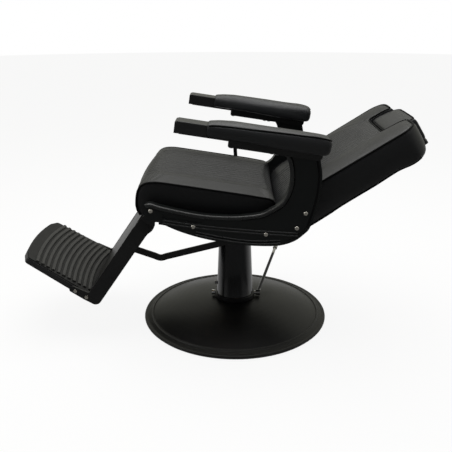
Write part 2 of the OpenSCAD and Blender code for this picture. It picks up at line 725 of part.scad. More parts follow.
module arm_pad(side) {
  // [place behind the front, half width less, seam height, crown over the seam, low edge]
  profile = [[0, 7, 33, 2, 1], [6, 5, 36, 5, 0], [28, 2, 38, 8, 0], [68, 0, 39, 11, 0], [128, 0, 41, 9, 0],
    [228, 0, 45, 4, 0], [318, 0, 47, 2, 0], [345, 1, 46, 1.5, 1], [355, 4, 42, 1, 4], [360, 9, 34, 1, 10]];
  color("#202123") at_seat() sided(side) translate([arm_x, pad_front + 0.2, pad_low])
    skin([for (p = profile)
      let (w = pad_w / 2 - p[1], h = p[2] * pad_h / 51, y = p[0] * pad_len / 360)
      concat(
        [[w - 4, y, p[4]], [4 - w, y, p[4]]],
        [for (t = [0.12, 0.5, 0.9]) [-w - 1.5 * sin(180 * t), y, p[4] + (h - p[4]) * t]],
        [for (k = [-9:9]) [w * sin(10 * k), y, h + p[3] * pad_h / 51 * (1 - pow(abs(sin(10 * k)), 2.6))]],
        [for (t = [0.9, 0.5, 0.12]) [w + 1.5 * sin(180 * t), y, p[4] + (h - p[4]) * t]])]);
}

module arm_bolts() {
  color("#2c2e30") at_seat() for (s = [-1, 1], y = arm_bolt_y)
    sided(s) translate([arm_x, y, panel_high - 5]) {
      cylinder(r = 6, h = 5);
      cylinder(r = 3, h = 20);
    }
}

// ---------- recline lever ----------

module recline_lever() {
  x0 = panel_out + bead_h + 3;
  top = [lever_y - 36, lever_z + 168];
  color("#1c1d1f") at_seat() mirror([1, 0, 0]) {
    bar_x(side_in - 3, x0 + 5, [lever_y, lever_z], 6);
    bar_x(x0, x0 + 5, [lever_y, lever_z], 13);
    slab(x0, x0 + 5) polygon([[lever_y - 8, lever_z], [lever_y + 8, lever_z],
      top + [7, 0], top + [-7, 0]]);
    translate([x0 + 2.5, top[0], top[1] - 2]) rotate([12, 0, 0]) cylinder(r = 2.4, h = 30);
  }
}

module recline_knob() {
  x0 = panel_out + bead_h + 5.5;
  color("#101112") at_seat() mirror([1, 0, 0])
    translate([x0, lever_y - 36, lever_z + 166]) rotate([12, 0, 0]) difference() {
      rotate_extrude() polygon(concat([[0, 4], [6, 4]], arc([0, 19], 12, -45, 90, 12)));
      translate([0, 0, -e]) cylinder(r = 2.4, h = 30.5 + e);
    }
}

// ---------- backrest ----------

module torque_tube() {
  x1 = seat_w / 2 + 2;
  color("#2b2d2f") at_back() {
    bar_x(-x1, x1, [0, 0], torque_d / 2);
    bar_x(-side_out + 0.5, side_out - 0.5, [0, 0], journal_d / 2);
  }
  // The two levers below the tube are drawn in the seat's frame, where their pins lie.
  color("#2b2d2f") at_seat() {
    slab(link_x + 5, link_x + 5 + lever_t) back_lever([recline_y - link_lead, recline_z - link_drop]);
    bar_x(link_x - 7, link_x + 8, [recline_y - link_lead, recline_z - link_drop], link_pin_r);
    bar_x(link_x - 10, link_x - 6, [recline_y - link_lead, recline_z - link_drop], link_pin_r + 5);
    slab(-lock_x - 6 - lever_t, -lock_x - 6) back_lever([recline_y - 25, recline_z - lock_drop]);
    bar_x(-lock_x - 8, -lock_x + 9, [recline_y - 25, recline_z - lock_drop], lock_pin_r);
  }
}

// Outline of a lever from the torque tube to the pin at p.
module back_lever(p) {
  c = [recline_y, recline_z];
  tilt = atan2(p[1] - c[1], p[0] - c[0]);
  polygon(concat(arc(c, torque_d / 2 + 5, tilt + 80, tilt + 280, 12), arc(p, 13, tilt - 85, tilt + 85, 8)));
}

module back_upright(side) {
  color("#2b2d2f") at_back() sided(side) difference() {
    union() {
      translate([130, 26, -10]) cube([40, 8, cover_top]);
      translate([134, 0, -torque_d / 2 - 4]) cube([32, 34, torque_d + 8]);
    }
    bar_x(120, 180, [0, 0], torque_d / 2);
  }
}

module back_board() {
  color("#7b5f42") at_back() translate([0, 14, 32]) cube_about(back_w - 90, board_t, cover_top - 36);
}

module cube_about(w, d, h) {
  translate([-w / 2, 0, 0]) cube([w, d, h]);
}

// The ends of a grooved body: two fans from the groove's inner corners, joined by one triangle.
function grooved_cap(m) = let (top = floor((m + 5) / 2)) concat(
  [for (j = [4:top - 1]) [j, j + 1, 3]], [[2, 3, top]],
  [for (j = [top:m - 1]) [j, (j + 1) % m, 2]], [[0, 1, 2]]);

// A cushion ring with a groove, half_w to each side and up to the height deep, in its rear.
function grooved_ring(ring, half_w, low, deep) = concat([ring[0]],
  [[half_w, low], [half_w, deep], [-half_w, deep], [-half_w, low]],
  [for (i = [1:len(ring) - 1]) ring[i]]);

// The main pad of the back. Its rear holds the board and the uprights, and its foot clears the tube.
module back_cushion() {
  wide = back_w / 2 - 35;
  tube_room = torque_d / 2 + 7;
  foot = torque_d / 2 + 3.5;
  // [height from the pivot, rear, front, drawn in, groove half width, groove depth, share of the crown]
  rows = [
    [-66, tube_room + 2, back_front_t - 21, 14, wide, tube_room + 2.5, 0],
    [-61, tube_room, back_front_t - 15, 6, wide, tube_room + 0.5, 0.3],
    [-46, tube_room, back_front_t - 8, 1, wide, tube_room + 0.5, 0.6],
    [-22, tube_room, back_front_t - 2, 0, wide, tube_room + 0.5, 0.9],
    [0, tube_room, back_front_t, 0, wide, tube_room + 0.5, 1],
    [foot, tube_room, back_front_t, 0, wide, tube_room + 0.5, 1],
    [foot + 0.2, -back_rear_t, back_front_t, 0, wide, tube_room, 1],
    [30, -back_rear_t, back_front_t, 0, wide, tube_room, 1],
    [30.2, -back_rear_t, back_front_t, 0, wide, -14, 1],
    [cover_top - 3, -back_rear_t, back_front_t, 0, wide, -14, 1],
    [cover_top - 2.8, -back_rear_t, back_front_t, 0, post_x + 17, -14, 1],
    [notch_low, -back_rear_t, back_front_t, 0, post_x + 17, -14, 1]];
  rings = [for (p = rows)
    let (ring = cushion_ring(back_w / 2 - p[3], p[1], p[2], back_panel_w / 2, back_channels, 5 * p[6], 3))
    [for (q = grooved_ring(ring, p[4], p[1], p[5])) [-q[0], -q[1], p[0]]]];
  color("#222325") at_back() skin(rings, grooved_cap(len(rings[0])));
}

// The pad beside the headrest, closing the back's upper corner.
module back_wing(side) {
  // [height above the notch, drop of the front, drop of the rear, drawn in]
  profile = [[0, 0, 0, 0], [34, 0, 0, 0], [62, 0, 2, 1], [76, 1, 6, 3], [86, 3, 13, 7], [92, 6, 21, 12],
    [95.5, 11, 29, 18], [97, 18, 37, 26]];
  stretch = (back_len - notch_low) / 97;
  span = back_w / 2 - notch_r;
  color("#222325") at_back() sided(-side) skin([for (p = profile)
    let (w = back_w / 2 - p[3], low = p[2] - back_rear_t, high = back_front_t - p[1])
    [for (q = concat([[w - 7, low], [notch_r, low]],
        [for (x = [notch_r, notch_r + 8, (w + notch_r) / 2, w - 18, w - 5, w])
          [x, high + 5 * (1 - p[0] / 97) * (1 - pow(x / w, 6))]],
        [for (t = [0.85, 0.6, 0.35, 0.15]) [w + 3 * sin(180 * t) - 5 * (1 - t), low + (high - low) * t]]))
      [-q[0], -q[1], notch_low + p[0] * stretch]]]);
}

module back_cover() {
  profile = concat([[-14, back_rear_t + 0.2], [-14, back_rear_t + 14]],
    smooth([[-4, back_rear_t + 19], [40, back_rear_t + 18], [150, back_rear_t + 11],
      [250, back_rear_t + 9], [cover_top - 8, back_rear_t + 4]], 4), [[cover_top, back_rear_t + 0.2]]);
  color("#1f2123") at_back() slab(12 - back_w / 2, back_w / 2 - 12)
    polygon([for (p = profile) [p[1], p[0]]]);
}

module headrest_guides() {
  color("#8f9194") at_back() for (x = [-post_x, post_x])
    translate([x, 26, cover_top - 90]) difference() {
      translate([-post_w / 2 - 4, 0, 0]) cube([post_w + 8, 12, 85]);
      translate([-post_w / 2 - 0.4, 3.6, -1]) cube([post_w + 0.8, post_t + 0.8, 90]);
    }
}

// ---------- headrest ----------

module headrest_posts() {
  color("#c4c6c8") at_back() for (x = [-post_x, post_x])
    translate([x - post_w / 2, post_y - post_t / 2, cover_top - 145]) cube([post_w, post_t, 230]);
}

module headrest_board() {
  color("#1a1b1d") at_back() translate([0, back_rear_t + 4, head_low - 4]) rotate([-90, 0, 0])
    translate([0, -head_h / 2 - 4, 0]) linear_extrude(12) tile(head_w - 4, head_h + 6, 10);
}

module headrest_pad() {
  profile = [[0, 12, 6, 6, 0], [3, 6, 2, 2, 0.4], [10, 3, 0, 0, 0.8], [30, 3, 0, 0, 1], [60, 6, 0, 0, 1],
    [84, 11, 0, 0, 0.9], [94, 15, 1, 2, 0.6], [99, 20, 3, 4, 0.3], [102, 28, 8, 8, 0]];
  color("#232426") at_back() difference() {
    skin([for (p = profile)
      let (w = head_w / 2 - p[3], low = p[2] - back_rear_t - 4, high = back_front_t - 3 - p[1])
      [for (q = concat(
          [[w - 5, low], [5 - w, low]],
          [for (t = [0.1, 0.5, 0.9]) [-w - 2 * sin(180 * t), low + (high - low) * t]],
          [for (k = [-8:8]) [w * sin(11.25 * k), high + 5 * p[4] * (1 - pow(abs(sin(11.25 * k)), 4))]],
          [for (t = [0.9, 0.5, 0.1]) [w + 2 * sin(180 * t), low + (high - low) * t]]))
        [-q[0], -q[1], head_low + p[0] * head_h / 102]]]);
    for (x = [-post_x, post_x])
      translate([x - post_w / 2, post_y - post_t / 2, head_low - 10]) cube([post_w, post_t, 96]);
  }
}

// ---------- footrest ----------

// Side outline of a footrest arm: hub, strip, round heel and the ear along the foot plate.
function on_plate(w, lift) = [-w, -foot_len - w * tan(plate_slope) + lift];

arm_outline = concat(
  arc([0, 0], lug_r, 20, 160, 10),
  [[-18, -18], [-25, -47], [12 - arm_w + 8, -82], [12 - arm_w + 8, on_plate(28, 34)[1]]],
  arc([-38, on_plate(28, 34)[1]], 10, 0, -90, 5),
  [on_plate(78, plate_t + 1)],
  arc(on_plate(80, plate_t / 2 - 1), plate_t / 2 + 2, 100, 250, 8),
  [on_plate(30, -4)],
  arc(on_plate(1, 18), 21, -95, -5, 8),
  smooth([[20, -87], [21, -73], [27, -57], [25, -39], [16, -24], [14, -6]], 3));

module foot_arm(side) {
  x1 = foot_w / 2;
  x0 = x1 - joggle;
  color("#2c2f31") at_foot() sided(side) difference() {
    intersection() {
      slab(x0 - 60, x1 + 10) polygon(arm_outline);
      translate([0, 60, 0]) rotate([90, 0, 0]) linear_extrude(400) polygon([
        [x0 - arm_t, 40], [x0 - arm_t, -49], [x1 - arm_t, -79], [x1 - arm_t, -foot_len - 60],
        [x1, -foot_len - 60], [x1, -77], [x0, -47], [x0, 40]]);
    }
    bar_x(x0 - 60, x1 + 10, [0, 0], foot_shaft_r + run);
    for (w = [28, 70]) bar_x(x0, x1 + 1, on_plate(w, 8), 3.5);
  }
}

module leg_panel() {
  top = arm_in - joggle;
  low = plate_t + 2 - foot_len;
  color("#3a3d3f") at_foot() translate([0, -18, 0]) rotate([90, 0, 0]) linear_extrude(10)
    polygon([[-arm_in, low], [arm_in, low], [arm_in, -79], [top, -49], [top, -38], [-top, -38],
      [-top, -49], [-arm_in, -79]]);
}

// Draws children in a frame on the sloped foot plate, lifted above its underside.
module on_foot_plate(lift) {
  at_foot() translate([0, 0, -foot_len]) rotate([plate_slope, 0, 0]) translate([0, 0, lift]) children();
}

toe_half = arm_in - 14;

// Plan outline of the foot plate, from its heel to the bowed toe, drawn in by a margin.
module foot_outline(grow, heel) {
  polygon(concat(
    [[arm_in - grow, heel], [grow - arm_in, heel], [grow - arm_in, -90]],
    arc([14 - toe_half, 18 - plate_reach], 14 - grow, 180, 245, 5),
    [for (k = [-7:7]) [toe_half * k / 9, grow - plate_reach - toe_bow * (1 - pow(k / 9, 2))]],
    arc([toe_half - 14, 18 - plate_reach], 14 - grow, 295, 360, 5),
    [[arm_in - grow, -90]]));
}

module foot_plate() {
  color("#25272a") difference() {
    on_foot_plate(0) linear_extrude(plate_t) foot_outline(0, 14);
    at_foot() for (s = [-1, 1], w = [28, 70]) sided(s) bar_x(foot_w / 2 - 32, foot_w, on_plate(w, 8), 3.5);
  }
}

// The ribs are arcs about one centre, so they all bow forward like the toe edge.
bow_r = (pow(toe_half, 2) + pow(toe_bow, 2)) / (2 * toe_bow);

module foot_mat() {
  heel = -30;
  color("#4c4f51") on_foot_plate(plate_t) difference() {
    union() {
      linear_extrude(3) foot_outline(3, heel);
      for (i = [0:ribs_n - 1])
        let (w = plate_reach - 42 - i * rib_pitch, r = bow_r, half = min(toe_half, arm_in - 6) - 4)
        translate([0, bow_r - w - toe_bow, 2.5]) rotate([0, 0, -90 - asin(half / r)])
          rotate_extrude(angle = 2 * asin(half / r), $fn = 200)
            polygon([[r - 6.5, 0], [r + 6.5, 0], [r + 6, rib_h * 0.6], [r + 3.5, rib_h],
              [r - 3.5, rib_h], [r - 6, rib_h * 0.6]]);
    }
    translate([-foot_w / 2, heel, 2]) cube([foot_w, 40, rib_h + 2]);
  }
}

module foot_screws() {
  color("#d5d7d9") at_foot() for (s = [-1, 1], w = [28, 70]) sided(s) {
    bar_x(foot_w / 2 - 30, foot_w / 2 + 1, on_plate(w, 8), 3.4);
    bar_x(foot_w / 2, foot_w / 2 + 3, on_plate(w, 8), 6);
  }
}

// ---------- linkage ----------

module link_clevis() {
  y0 = -18;
  color("#2b2d2f") at_foot() {
    translate([link_x - 22, y0, -link_pin_u - 26]) cube([44, 5, 52]);
    for (x = [link_x - link_t / 2 - 7, link_x + link_t / 2 + 2]) slab(x, x + 5)
      polygon(concat([[y0 + 4, 16 - link_pin_u], [y0 + 4, -16 - link_pin_u]],
        arc([1, -link_pin_u], 11, -80, 80, 8)));
    bar_x(link_x - 16, link_x + 16, [1, -link_pin_u], link_pin_r);
  }
}

// The front pin of the link in the seat's frame.
link_a = [foot_y, foot_z] + [cos(foot_raise) - link_pin_u * sin(foot_raise),
  -sin(foot_raise) - link_pin_u * cos(foot_raise)];
link_b = [recline_y - link_lead, recline_z - link_drop];

module footrest_link() {
  middle = [link_a, link_a + [112, -22], link_a + [299, 58], link_b];
  path = concat([middle[0]], smooth([middle[0] + 0.8 * (middle[1] - middle[0]), middle[1],
      middle[1] + 0.1 * (middle[2] - middle[1])], 4),
    smooth([middle[2] - 0.1 * (middle[2] - middle[1]), middle[2],
      middle[2] + 0.1 * (middle[3] - middle[2])], 4), [middle[3]]);
  edge = link_w / 2;
  color("#26282a") at_seat() difference() {
    union() {
      slab(link_x - link_t / 2, link_x + link_t / 2) polygon(concat(beside(path, edge),
        reversed(beside(path, -edge))));
      bar_x(link_x - link_t / 2, link_x + link_t / 2, link_a, edge + 1);
      bar_x(link_x - link_t / 2, link_x + link_t / 2, link_b, edge + 3);
    }
    bar_x(link_x - 20, link_x + 20, link_a, link_pin_r + run);
    bar_x(link_x - 20, link_x + 20, link_b, link_pin_r + link_play);
  }
}

lock_a = [lock_y0, lock_z0];
// The rear eye is set 2.5 mm low on its pin, so the play is shared out over the whole recline.
lock_b = [recline_y - 25, recline_z - lock_drop] + [0.2, -2.5];
lock_dir = (lock_b - lock_a) / norm(lock_b - lock_a);
lock_play = 3.4;
tube_end = 190;

// Draws children in a frame at the lock's front pin, with +Z along its tube.
module at_lock() {
  at_seat() translate([-lock_x, lock_a[0], lock_a[1]])
    rotate([-atan2(lock_dir[0], lock_dir[1]), 0, 0]) children();
}

module lock_cylinder() {
  color("#232527") at_lock() difference() {
    union() {
      bar_x(-5, 5, [0, 0], 11);
      translate([0, 0, 8]) cylinder(r = 7, h = 14);
      translate([0, 0, 20]) cylinder(r = lock_d / 2 - 1, h = tube_end - 20);
      translate([0, 0, tube_end - 12]) cylinder(r = lock_d / 2, h = 12);
    }
    bar_x(-20, 20, [0, 0], lock_pin_r + run);
    translate([0, 0, 30]) cylinder(r = lock_d / 2 - 4, h = tube_end - 42);
    translate([0, 0, 30]) cylinder(r = 5 + run, h = tube_end);
  }
}

module lock_rod() {
  reach = norm(lock_b - lock_a);
  color("#c4c6c8") at_lock() difference() {
    union() {
      translate([0, 0, reach - 200]) cylinder(r = lock_d / 2 - 4 - run, h = 8);
      translate([0, 0, reach - 200]) cylinder(r = 5, h = 190);
      translate([0, 0, reach]) bar_x(-5, 5, [0, 0], 12);
    }
    translate([0, 0, reach]) bar_x(-20, 20, [0, 0], lock_pin_r + lock_play);
  }
}

// ---------- output ----------

floor_ring();
base_plate();
rim_ring();
pump_collar();
flange_bolts();
pump_cylinder();
guide_bush();
column_shroud();
release_valve();
pedal_shaft();
pedal_rod();
pedal_pad();
ram();
thrust_washer();
saddle();
tilt_pin();
tilt_stops();
side_plate(1);  // side_plate_left
side_plate(-1);  // side_plate_right
front_cross_tube();
rear_cross_tube();
frame_rail(1);  // frame_rail_left
frame_rail(-1);  // frame_rail_right
seat_board();
seat_cushion();
footrest_shaft();
side_panel(1);  // side_panel_left
side_panel(-1);  // side_panel_right
panel_screws();
arm_bracket(1);  // arm_bracket_left
arm_bracket(-1);  // arm_bracket_right
arm_block(1);  // arm_block_left
arm_block(-1);  // arm_block_right
arm_pad(1);  // arm_pad_left
arm_pad(-1);  // arm_pad_right
arm_bolts();
recline_lever();
recline_knob();
torque_tube();
back_upright(1);  // back_upright_left
back_upright(-1);  // back_upright_right
back_board();
back_cushion();
back_wing(1);  // back_wing_left
back_wing(-1);  // back_wing_right
back_cover();
headrest_guides();
headrest_posts();
headrest_board();
headrest_pad();
foot_arm(1);  // foot_arm_left
foot_arm(-1);  // foot_arm_right
leg_panel();
foot_plate();
foot_mat();
foot_screws();
link_clevis();
footrest_link();
lock_cylinder();
lock_rod();
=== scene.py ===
import math
import bmesh
import bpy
from mathutils import Matrix, Vector
from mathutils.bvhtree import BVHTree


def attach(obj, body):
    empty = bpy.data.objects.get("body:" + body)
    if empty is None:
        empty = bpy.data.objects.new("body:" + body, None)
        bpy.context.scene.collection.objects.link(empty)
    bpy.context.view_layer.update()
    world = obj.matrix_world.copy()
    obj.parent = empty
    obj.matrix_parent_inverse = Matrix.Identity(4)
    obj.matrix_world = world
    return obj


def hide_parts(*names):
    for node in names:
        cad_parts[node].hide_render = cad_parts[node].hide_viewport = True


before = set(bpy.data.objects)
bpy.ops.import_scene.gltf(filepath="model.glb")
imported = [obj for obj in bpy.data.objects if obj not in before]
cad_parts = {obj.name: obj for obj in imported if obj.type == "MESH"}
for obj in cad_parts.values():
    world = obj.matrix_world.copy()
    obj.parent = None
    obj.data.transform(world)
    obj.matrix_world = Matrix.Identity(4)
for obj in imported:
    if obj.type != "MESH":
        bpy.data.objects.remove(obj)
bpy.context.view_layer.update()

scene = bpy.context.scene
scene.view_settings.view_transform = "Standard"

# ---- Camera -------------------------------------------------------------------------------
# It stands on the sitter's left, a little over a metre up, and looks down on the chair.
yaw, pitch, roll = -0.02150, 0.33906, -0.00285
stands_at = (2.0734, 0.0131, 1.0739)
ahead = Vector((-math.cos(pitch) * math.cos(yaw), math.cos(pitch) * math.sin(yaw), -math.sin(pitch)))
level = Vector((math.sin(yaw), math.cos(yaw), 0))
above = level.cross(ahead)
right = math.cos(roll) * level + math.sin(roll) * above
upward = math.cos(roll) * above - math.sin(roll) * level
eye = bpy.data.cameras.new("camera")
eye.lens = 49.63
eye.sensor_width = 36
camera = bpy.data.objects.new("camera", eye)
camera.matrix_world = Matrix.Translation(stands_at) @ Matrix((right, upward, -ahead)).transposed().to_4x4()
scene.collection.objects.link(camera)
scene.camera = camera

# ---- Studio -------------------------------------------------------------------------------
# A pale floor under the chair, a wide soft lamp overhead and a white wall on the far side.
# The side towards the camera is a dim room, so black surfaces that face it stay dark.


class Tone:
    """A value inside a material: sums and products of tones build their own maths nodes."""

    def __init__(self, tree, socket):
        self.tree, self.socket = tree, socket

    def node(self, kind, settings=None, sockets=None, out=0):
        """Any node: its type, its settings, the values or links of its sockets, its output."""
        made = self.tree.nodes.new("ShaderNode" + kind)
        for key, value in (settings or {}).items():
            setattr(made, key, value)
        for key, value in (sockets or {}).items():
            if isinstance(value, Tone):
                self.tree.links.new(value.socket, made.inputs[key])
            else:
                made.inputs[key].default_value = value
        return Tone(self.tree, made.outputs[out])

    def maths(self, operation, other=0.0, swap=False):
        pair = {0: other, 1: self} if swap else {0: self, 1: other}
        return self.node("Math", {"operation": operation}, pair)

    def __add__(self, other):
        return self.maths("ADD", other)

    def __sub__(self, other):
        return self.maths("SUBTRACT", other)

    def __rsub__(self, other):
        return self.maths("SUBTRACT", other, True)

    def __mul__(self, other):
        return self.maths("MULTIPLY", other)

    def __pow__(self, other):
        return self.maths("POWER", other)

    __radd__, __rmul__ = __add__, __mul__

    def axis(self, letter):
        """One of the three coordinates."""
        return self.node("SeparateXYZ", None, {"Vector": self}, letter)

    def ease(self, low, high, start=0.0, end=1.0):
        """Goes smoothly from start to end while this value goes from low to high."""
        return self.node("MapRange", {"interpolation_type": "SMOOTHSTEP"}, {
            "Value": self, "From Min": low, "From Max": high, "To Min": start, "To Max": end})

    def stretched(self, factors):
        """Coordinates that draw a pattern out along its grain."""
        return self.node("VectorMath", {"operation": "MULTIPLY"}, {0: self, 1: factors})

    def noise(self, scale, detail=2.0):
        """A cloudy pattern over these coordinates."""
        return self.node("TexNoise", None, {"Vector": self, "Scale": scale, "Detail": detail})

    def between(self, first, second):
        """A colour: first where this value is 0, second where it is 1."""
        first, second = (c if isinstance(c, Tone) else (*c, 1) for c in (first, second))
        return self.node("Mix", {"data_type": "RGBA"}, {0: self, 6: first, 7: second}, 2)


def reflections(tone):
    """1 for a ray that arrives by way of gloss or glass."""
    return tone.node("LightPath", out="Is Glossy Ray") + tone.node("LightPath", out="Is Transmission Ray")


world = bpy.data.worlds.new("studio")
scene.world = world
world.use_nodes = True
sky = Tone(world.node_tree, None)
way = sky.node("TexCoord", out="Generated")
across, lengthwise, height = (way.axis(letter) for letter in "XYZ")
wall = across.ease(0.35, -0.35)
ends = lengthwise.maths("ABSOLUTE").ease(0.55, 0.9)
room = wall * 0.34 + ends * 0.16 + height.maths("MAXIMUM", 0.0) * 0.22 + 0.035
seen = sky.node("LightPath", out="Is Camera Ray")
strength = room * (1 - seen) + reflections(sky) * wall * 0.05 + seen
warmth = (wall * (1 - seen)).between((1, 1, 1), (1.0, 1.0, 0.88))
background = world.node_tree.nodes["Background"]
world.node_tree.links.new(strength.socket, background.inputs["Strength"])
world.node_tree.links.new(warmth.socket, background.inputs["Color"])

for label, place, aim, (width, length), watts in (
        ("overhead", (-0.2, 0.0, 2.6), (0, 0, 0.4), (2.4, 2.8), 62),
        ("front_fill", (1.2, -2.6, 1.7), (0, -0.1, 0.4), (1.4, 1.2), 6)):
    lamp = bpy.data.lights.new(label, "AREA")
    lamp.shape, lamp.size, lamp.size_y, lamp.energy = "RECTANGLE", width, length, watts
    stand = bpy.data.objects.new(label, lamp)
    stand.matrix_world = Matrix.Translation(place) @ (
        Vector(aim) - Vector(place)).to_track_quat("-Z", "Y").to_matrix().to_4x4()
    scene.collection.objects.link(stand)

disc = bmesh.new()
floor_radius = 14
bmesh.ops.create_circle(disc, cap_ends=True, segments=96, radius=floor_radius)
floor = bpy.data.objects.new("floor", bpy.data.meshes.new("floor"))
disc.to_mesh(floor.data)
disc.free()
scene.collection.objects.link(floor)
paving = bpy.data.materials.new("pale_floor")
paving.use_nodes = True
tree = paving.node_tree
tree.nodes.remove(tree.nodes["Principled BSDF"])
ground = Tone(tree, None)
far_side = ground.node("TexCoord", out="Object").axis("X").ease(0.55, -0.55, 0.10, 0.75)
matt = ground.node("BsdfDiffuse", None, {"Color": (0.92, 0.92, 0.92, 1)})
white, dim = (ground.node("Emission", None, {"Color": (1, 1, 1, 1), "Strength": glow}) for glow in (1.0, 0.0))
mirrored = ground.node("MixShader", None, {0: far_side, 1: dim, 2: white})
plain = ground.node("MixShader", None, {
    0: ground.node("LightPath", out="Is Camera Ray") * 0.90, 1: matt, 2: white})
surface = ground.node("MixShader", None, {0: reflections(ground), 1: plain, 2: mirrored})
tree.links.new(surface.socket, tree.nodes["Material Output"].inputs["Surface"])
floor.data.materials.append(paving)

# ---- Base ---------------------------------------------------------------------------------
# A cast dome with a plain rim ring, enamelled satin black, standing on a rubber ring that is
# pressed under the rim. Fine grit in the enamel breaks up the shine.


def start_finish(name, tone, **sockets):
    """A new material with its plain values set: its shader, and the place on the piece."""
    made = bpy.data.materials.new(name)
    made.use_nodes = True
    shader = made.node_tree.nodes["Principled BSDF"]
    shader.inputs["Base Color"].default_value = (*tone, 1)
    for key, value in sockets.items():
        shader.inputs[key.replace("_", " ")].default_value = value
    spot = Tone(made.node_tree, None).node("TexCoord", out="Object")
    return made, shader, spot


def wire(shader, **tones):
    """Leads patterns into a shader's sockets."""
    for key, tone in tones.items():
        tone.tree.links.new(tone.socket, shader.inputs[key.replace("_", " ")])


def mottle(spot, dark, light, scale):
    """A colour that wanders between two shades over the surface."""
    return spot.noise(scale, 3.0).between(dark, light)


def bumpy(spot, relief, depth, strength=1.0, edge=0.0):
    """A surface raised by relief, with its sharp edges rounded by edge."""
    sockets = {"Height": relief, "Distance": depth, "Strength": strength}
    if edge:
        sockets["Normal"] = spot.node("Bevel", {"samples": 4}, {"Radius": edge})
    return spot.node("Bump", None, sockets)


def dress(look, *nodes):
    """Gives CAD nodes their finish."""
    for node in nodes:
        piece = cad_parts[node]
        if not piece.material_slots:
            piece.data.materials.append(look)
        for place in piece.material_slots:
            place.material = look


def enamel(name, dark, light, rough, grit, coat, edge=0.0012, shine=0.3):
    """Baked enamel: a fine orange peel under a thin clear skin."""
    look, shader, spot = start_finish(name, dark, Coat_Weight=coat, Coat_Roughness=0.25,
                                      Specular_IOR_Level=shine)
    wire(shader, Base_Color=mottle(spot, dark, light, 11.0),
         Roughness=spot.noise(7.0, 4.0) * 0.16 + (rough - 0.08),
         Normal=bumpy(spot, spot.noise(620.0), grit, 0.6, edge))
    return look


dome_enamel = enamel("dome_enamel", (0.0035, 0.0035, 0.004), (0.0055, 0.0055, 0.006),
                     rough=0.40, grit=0.00012, coat=0.05)
rim_enamel = enamel("rim_enamel", (0.010, 0.0102, 0.009), (0.016, 0.016, 0.0145),
                    rough=0.46, grit=0.0002, coat=0.05)
foot_rubber, shader, spot = start_finish("foot_rubber", (0.016, 0.016, 0.016), Roughness=0.8)
wire(shader, Base_Color=mottle(spot, (0.012, 0.012, 0.012), (0.024, 0.024, 0.023), 40.0),
     Normal=bumpy(spot, spot.noise(380.0, 3.0), 0.0002, 0.7, 0.0008))
dress(dome_enamel, "base_plate")
dress(rim_enamel, "rim_ring")
dress(foot_rubber, "floor_ring")

# ---- Pump ---------------------------------------------------------------------------------
# The pump stands in a cast collar bolted to the dome. Its ram is hard chromed and runs in a
# bronze bush. The shroud is drawn steel, plated in black chrome and polished, so it mirrors
# the room in upright bands and the dome near its foot.


def metal(name, tone, rough, scratch, stretch=(1, 1, 1), edge=0.0008):
    """Bare or plated metal with a faint grain drawn along it."""
    look, shader, spot = start_finish(name, tone, Metallic=1.0)
    pale = tuple(min(1.0, shade * 1.12) for shade in tone)
    wire(shader, Base_Color=mottle(spot, tone, pale, 30.0), Roughness=spot.noise(18.0, 4.0) * 0.12 + rough,
         Normal=bumpy(spot, spot.stretched(stretch).noise(300.0, 3.0), 0.00006, scratch, edge))
    return look


black_chrome, shader, spot = start_finish("black_chrome", (0.004, 0.0045, 0.005), Specular_IOR_Level=0.6)
flare = (spot.axis("Z") * -3.6 + 1.35).maths("MAXIMUM", 0.0) ** 3.0
ripple = spot.stretched((9.0, 9.0, 1.5)).noise(2.0, 1.0)
wire(shader, Base_Color=mottle(spot, (0.0035, 0.004, 0.0045), (0.006, 0.0065, 0.007), 5.0),
     Roughness=spot.noise(26.0, 5.0) * 0.08 + 0.09, Normal=bumpy(spot, ripple * 0.01 + flare, 0.03))
turned_steel = metal("turned_steel", (0.42, 0.43, 0.44), rough=0.26, scratch=0.5, stretch=(1, 1, 0.1))
polished_chrome = metal("polished_chrome", (0.72, 0.73, 0.74), rough=0.08, scratch=0.15)
oiled_bronze = metal("oiled_bronze", (0.50, 0.33, 0.15), rough=0.30, scratch=0.4)
dress(black_chrome, "column_shroud")
dress(dome_enamel, "pump_collar")
dress(turned_steel, "pump_cylinder", "flange_bolts", "release_valve")
dress(polished_chrome, "ram")
dress(oiled_bronze, "guide_bush", "thrust_washer")

# ---- Pedal --------------------------------------------------------------------------------
# A blackened steel rod with a bright hub and ferrule, on a cross shaft through the collar.
# A rubber pad is pushed on its end.
dark_rod, shader, spot = start_finish("dark_rod", (0.02, 0.02, 0.021), Metallic=1.0)
ferrule_from, hub_to, blur = 0.1432, 0.0915, 0.001
up = spot.axis("Z")
bright = up.ease(ferrule_from, ferrule_from + blur) + up.ease(hub_to + blur, hub_to)
wire(shader, Base_Color=bright.maths("MINIMUM", 1.0).between((0.03, 0.03, 0.032), (0.36, 0.355, 0.34)),
     Roughness=spot.noise(60.0) * 0.12 + 0.18)
dress(dark_rod, "pedal_rod")
dress(polished_chrome, "pedal_shaft")
dress(foot_rubber, "pedal_pad")

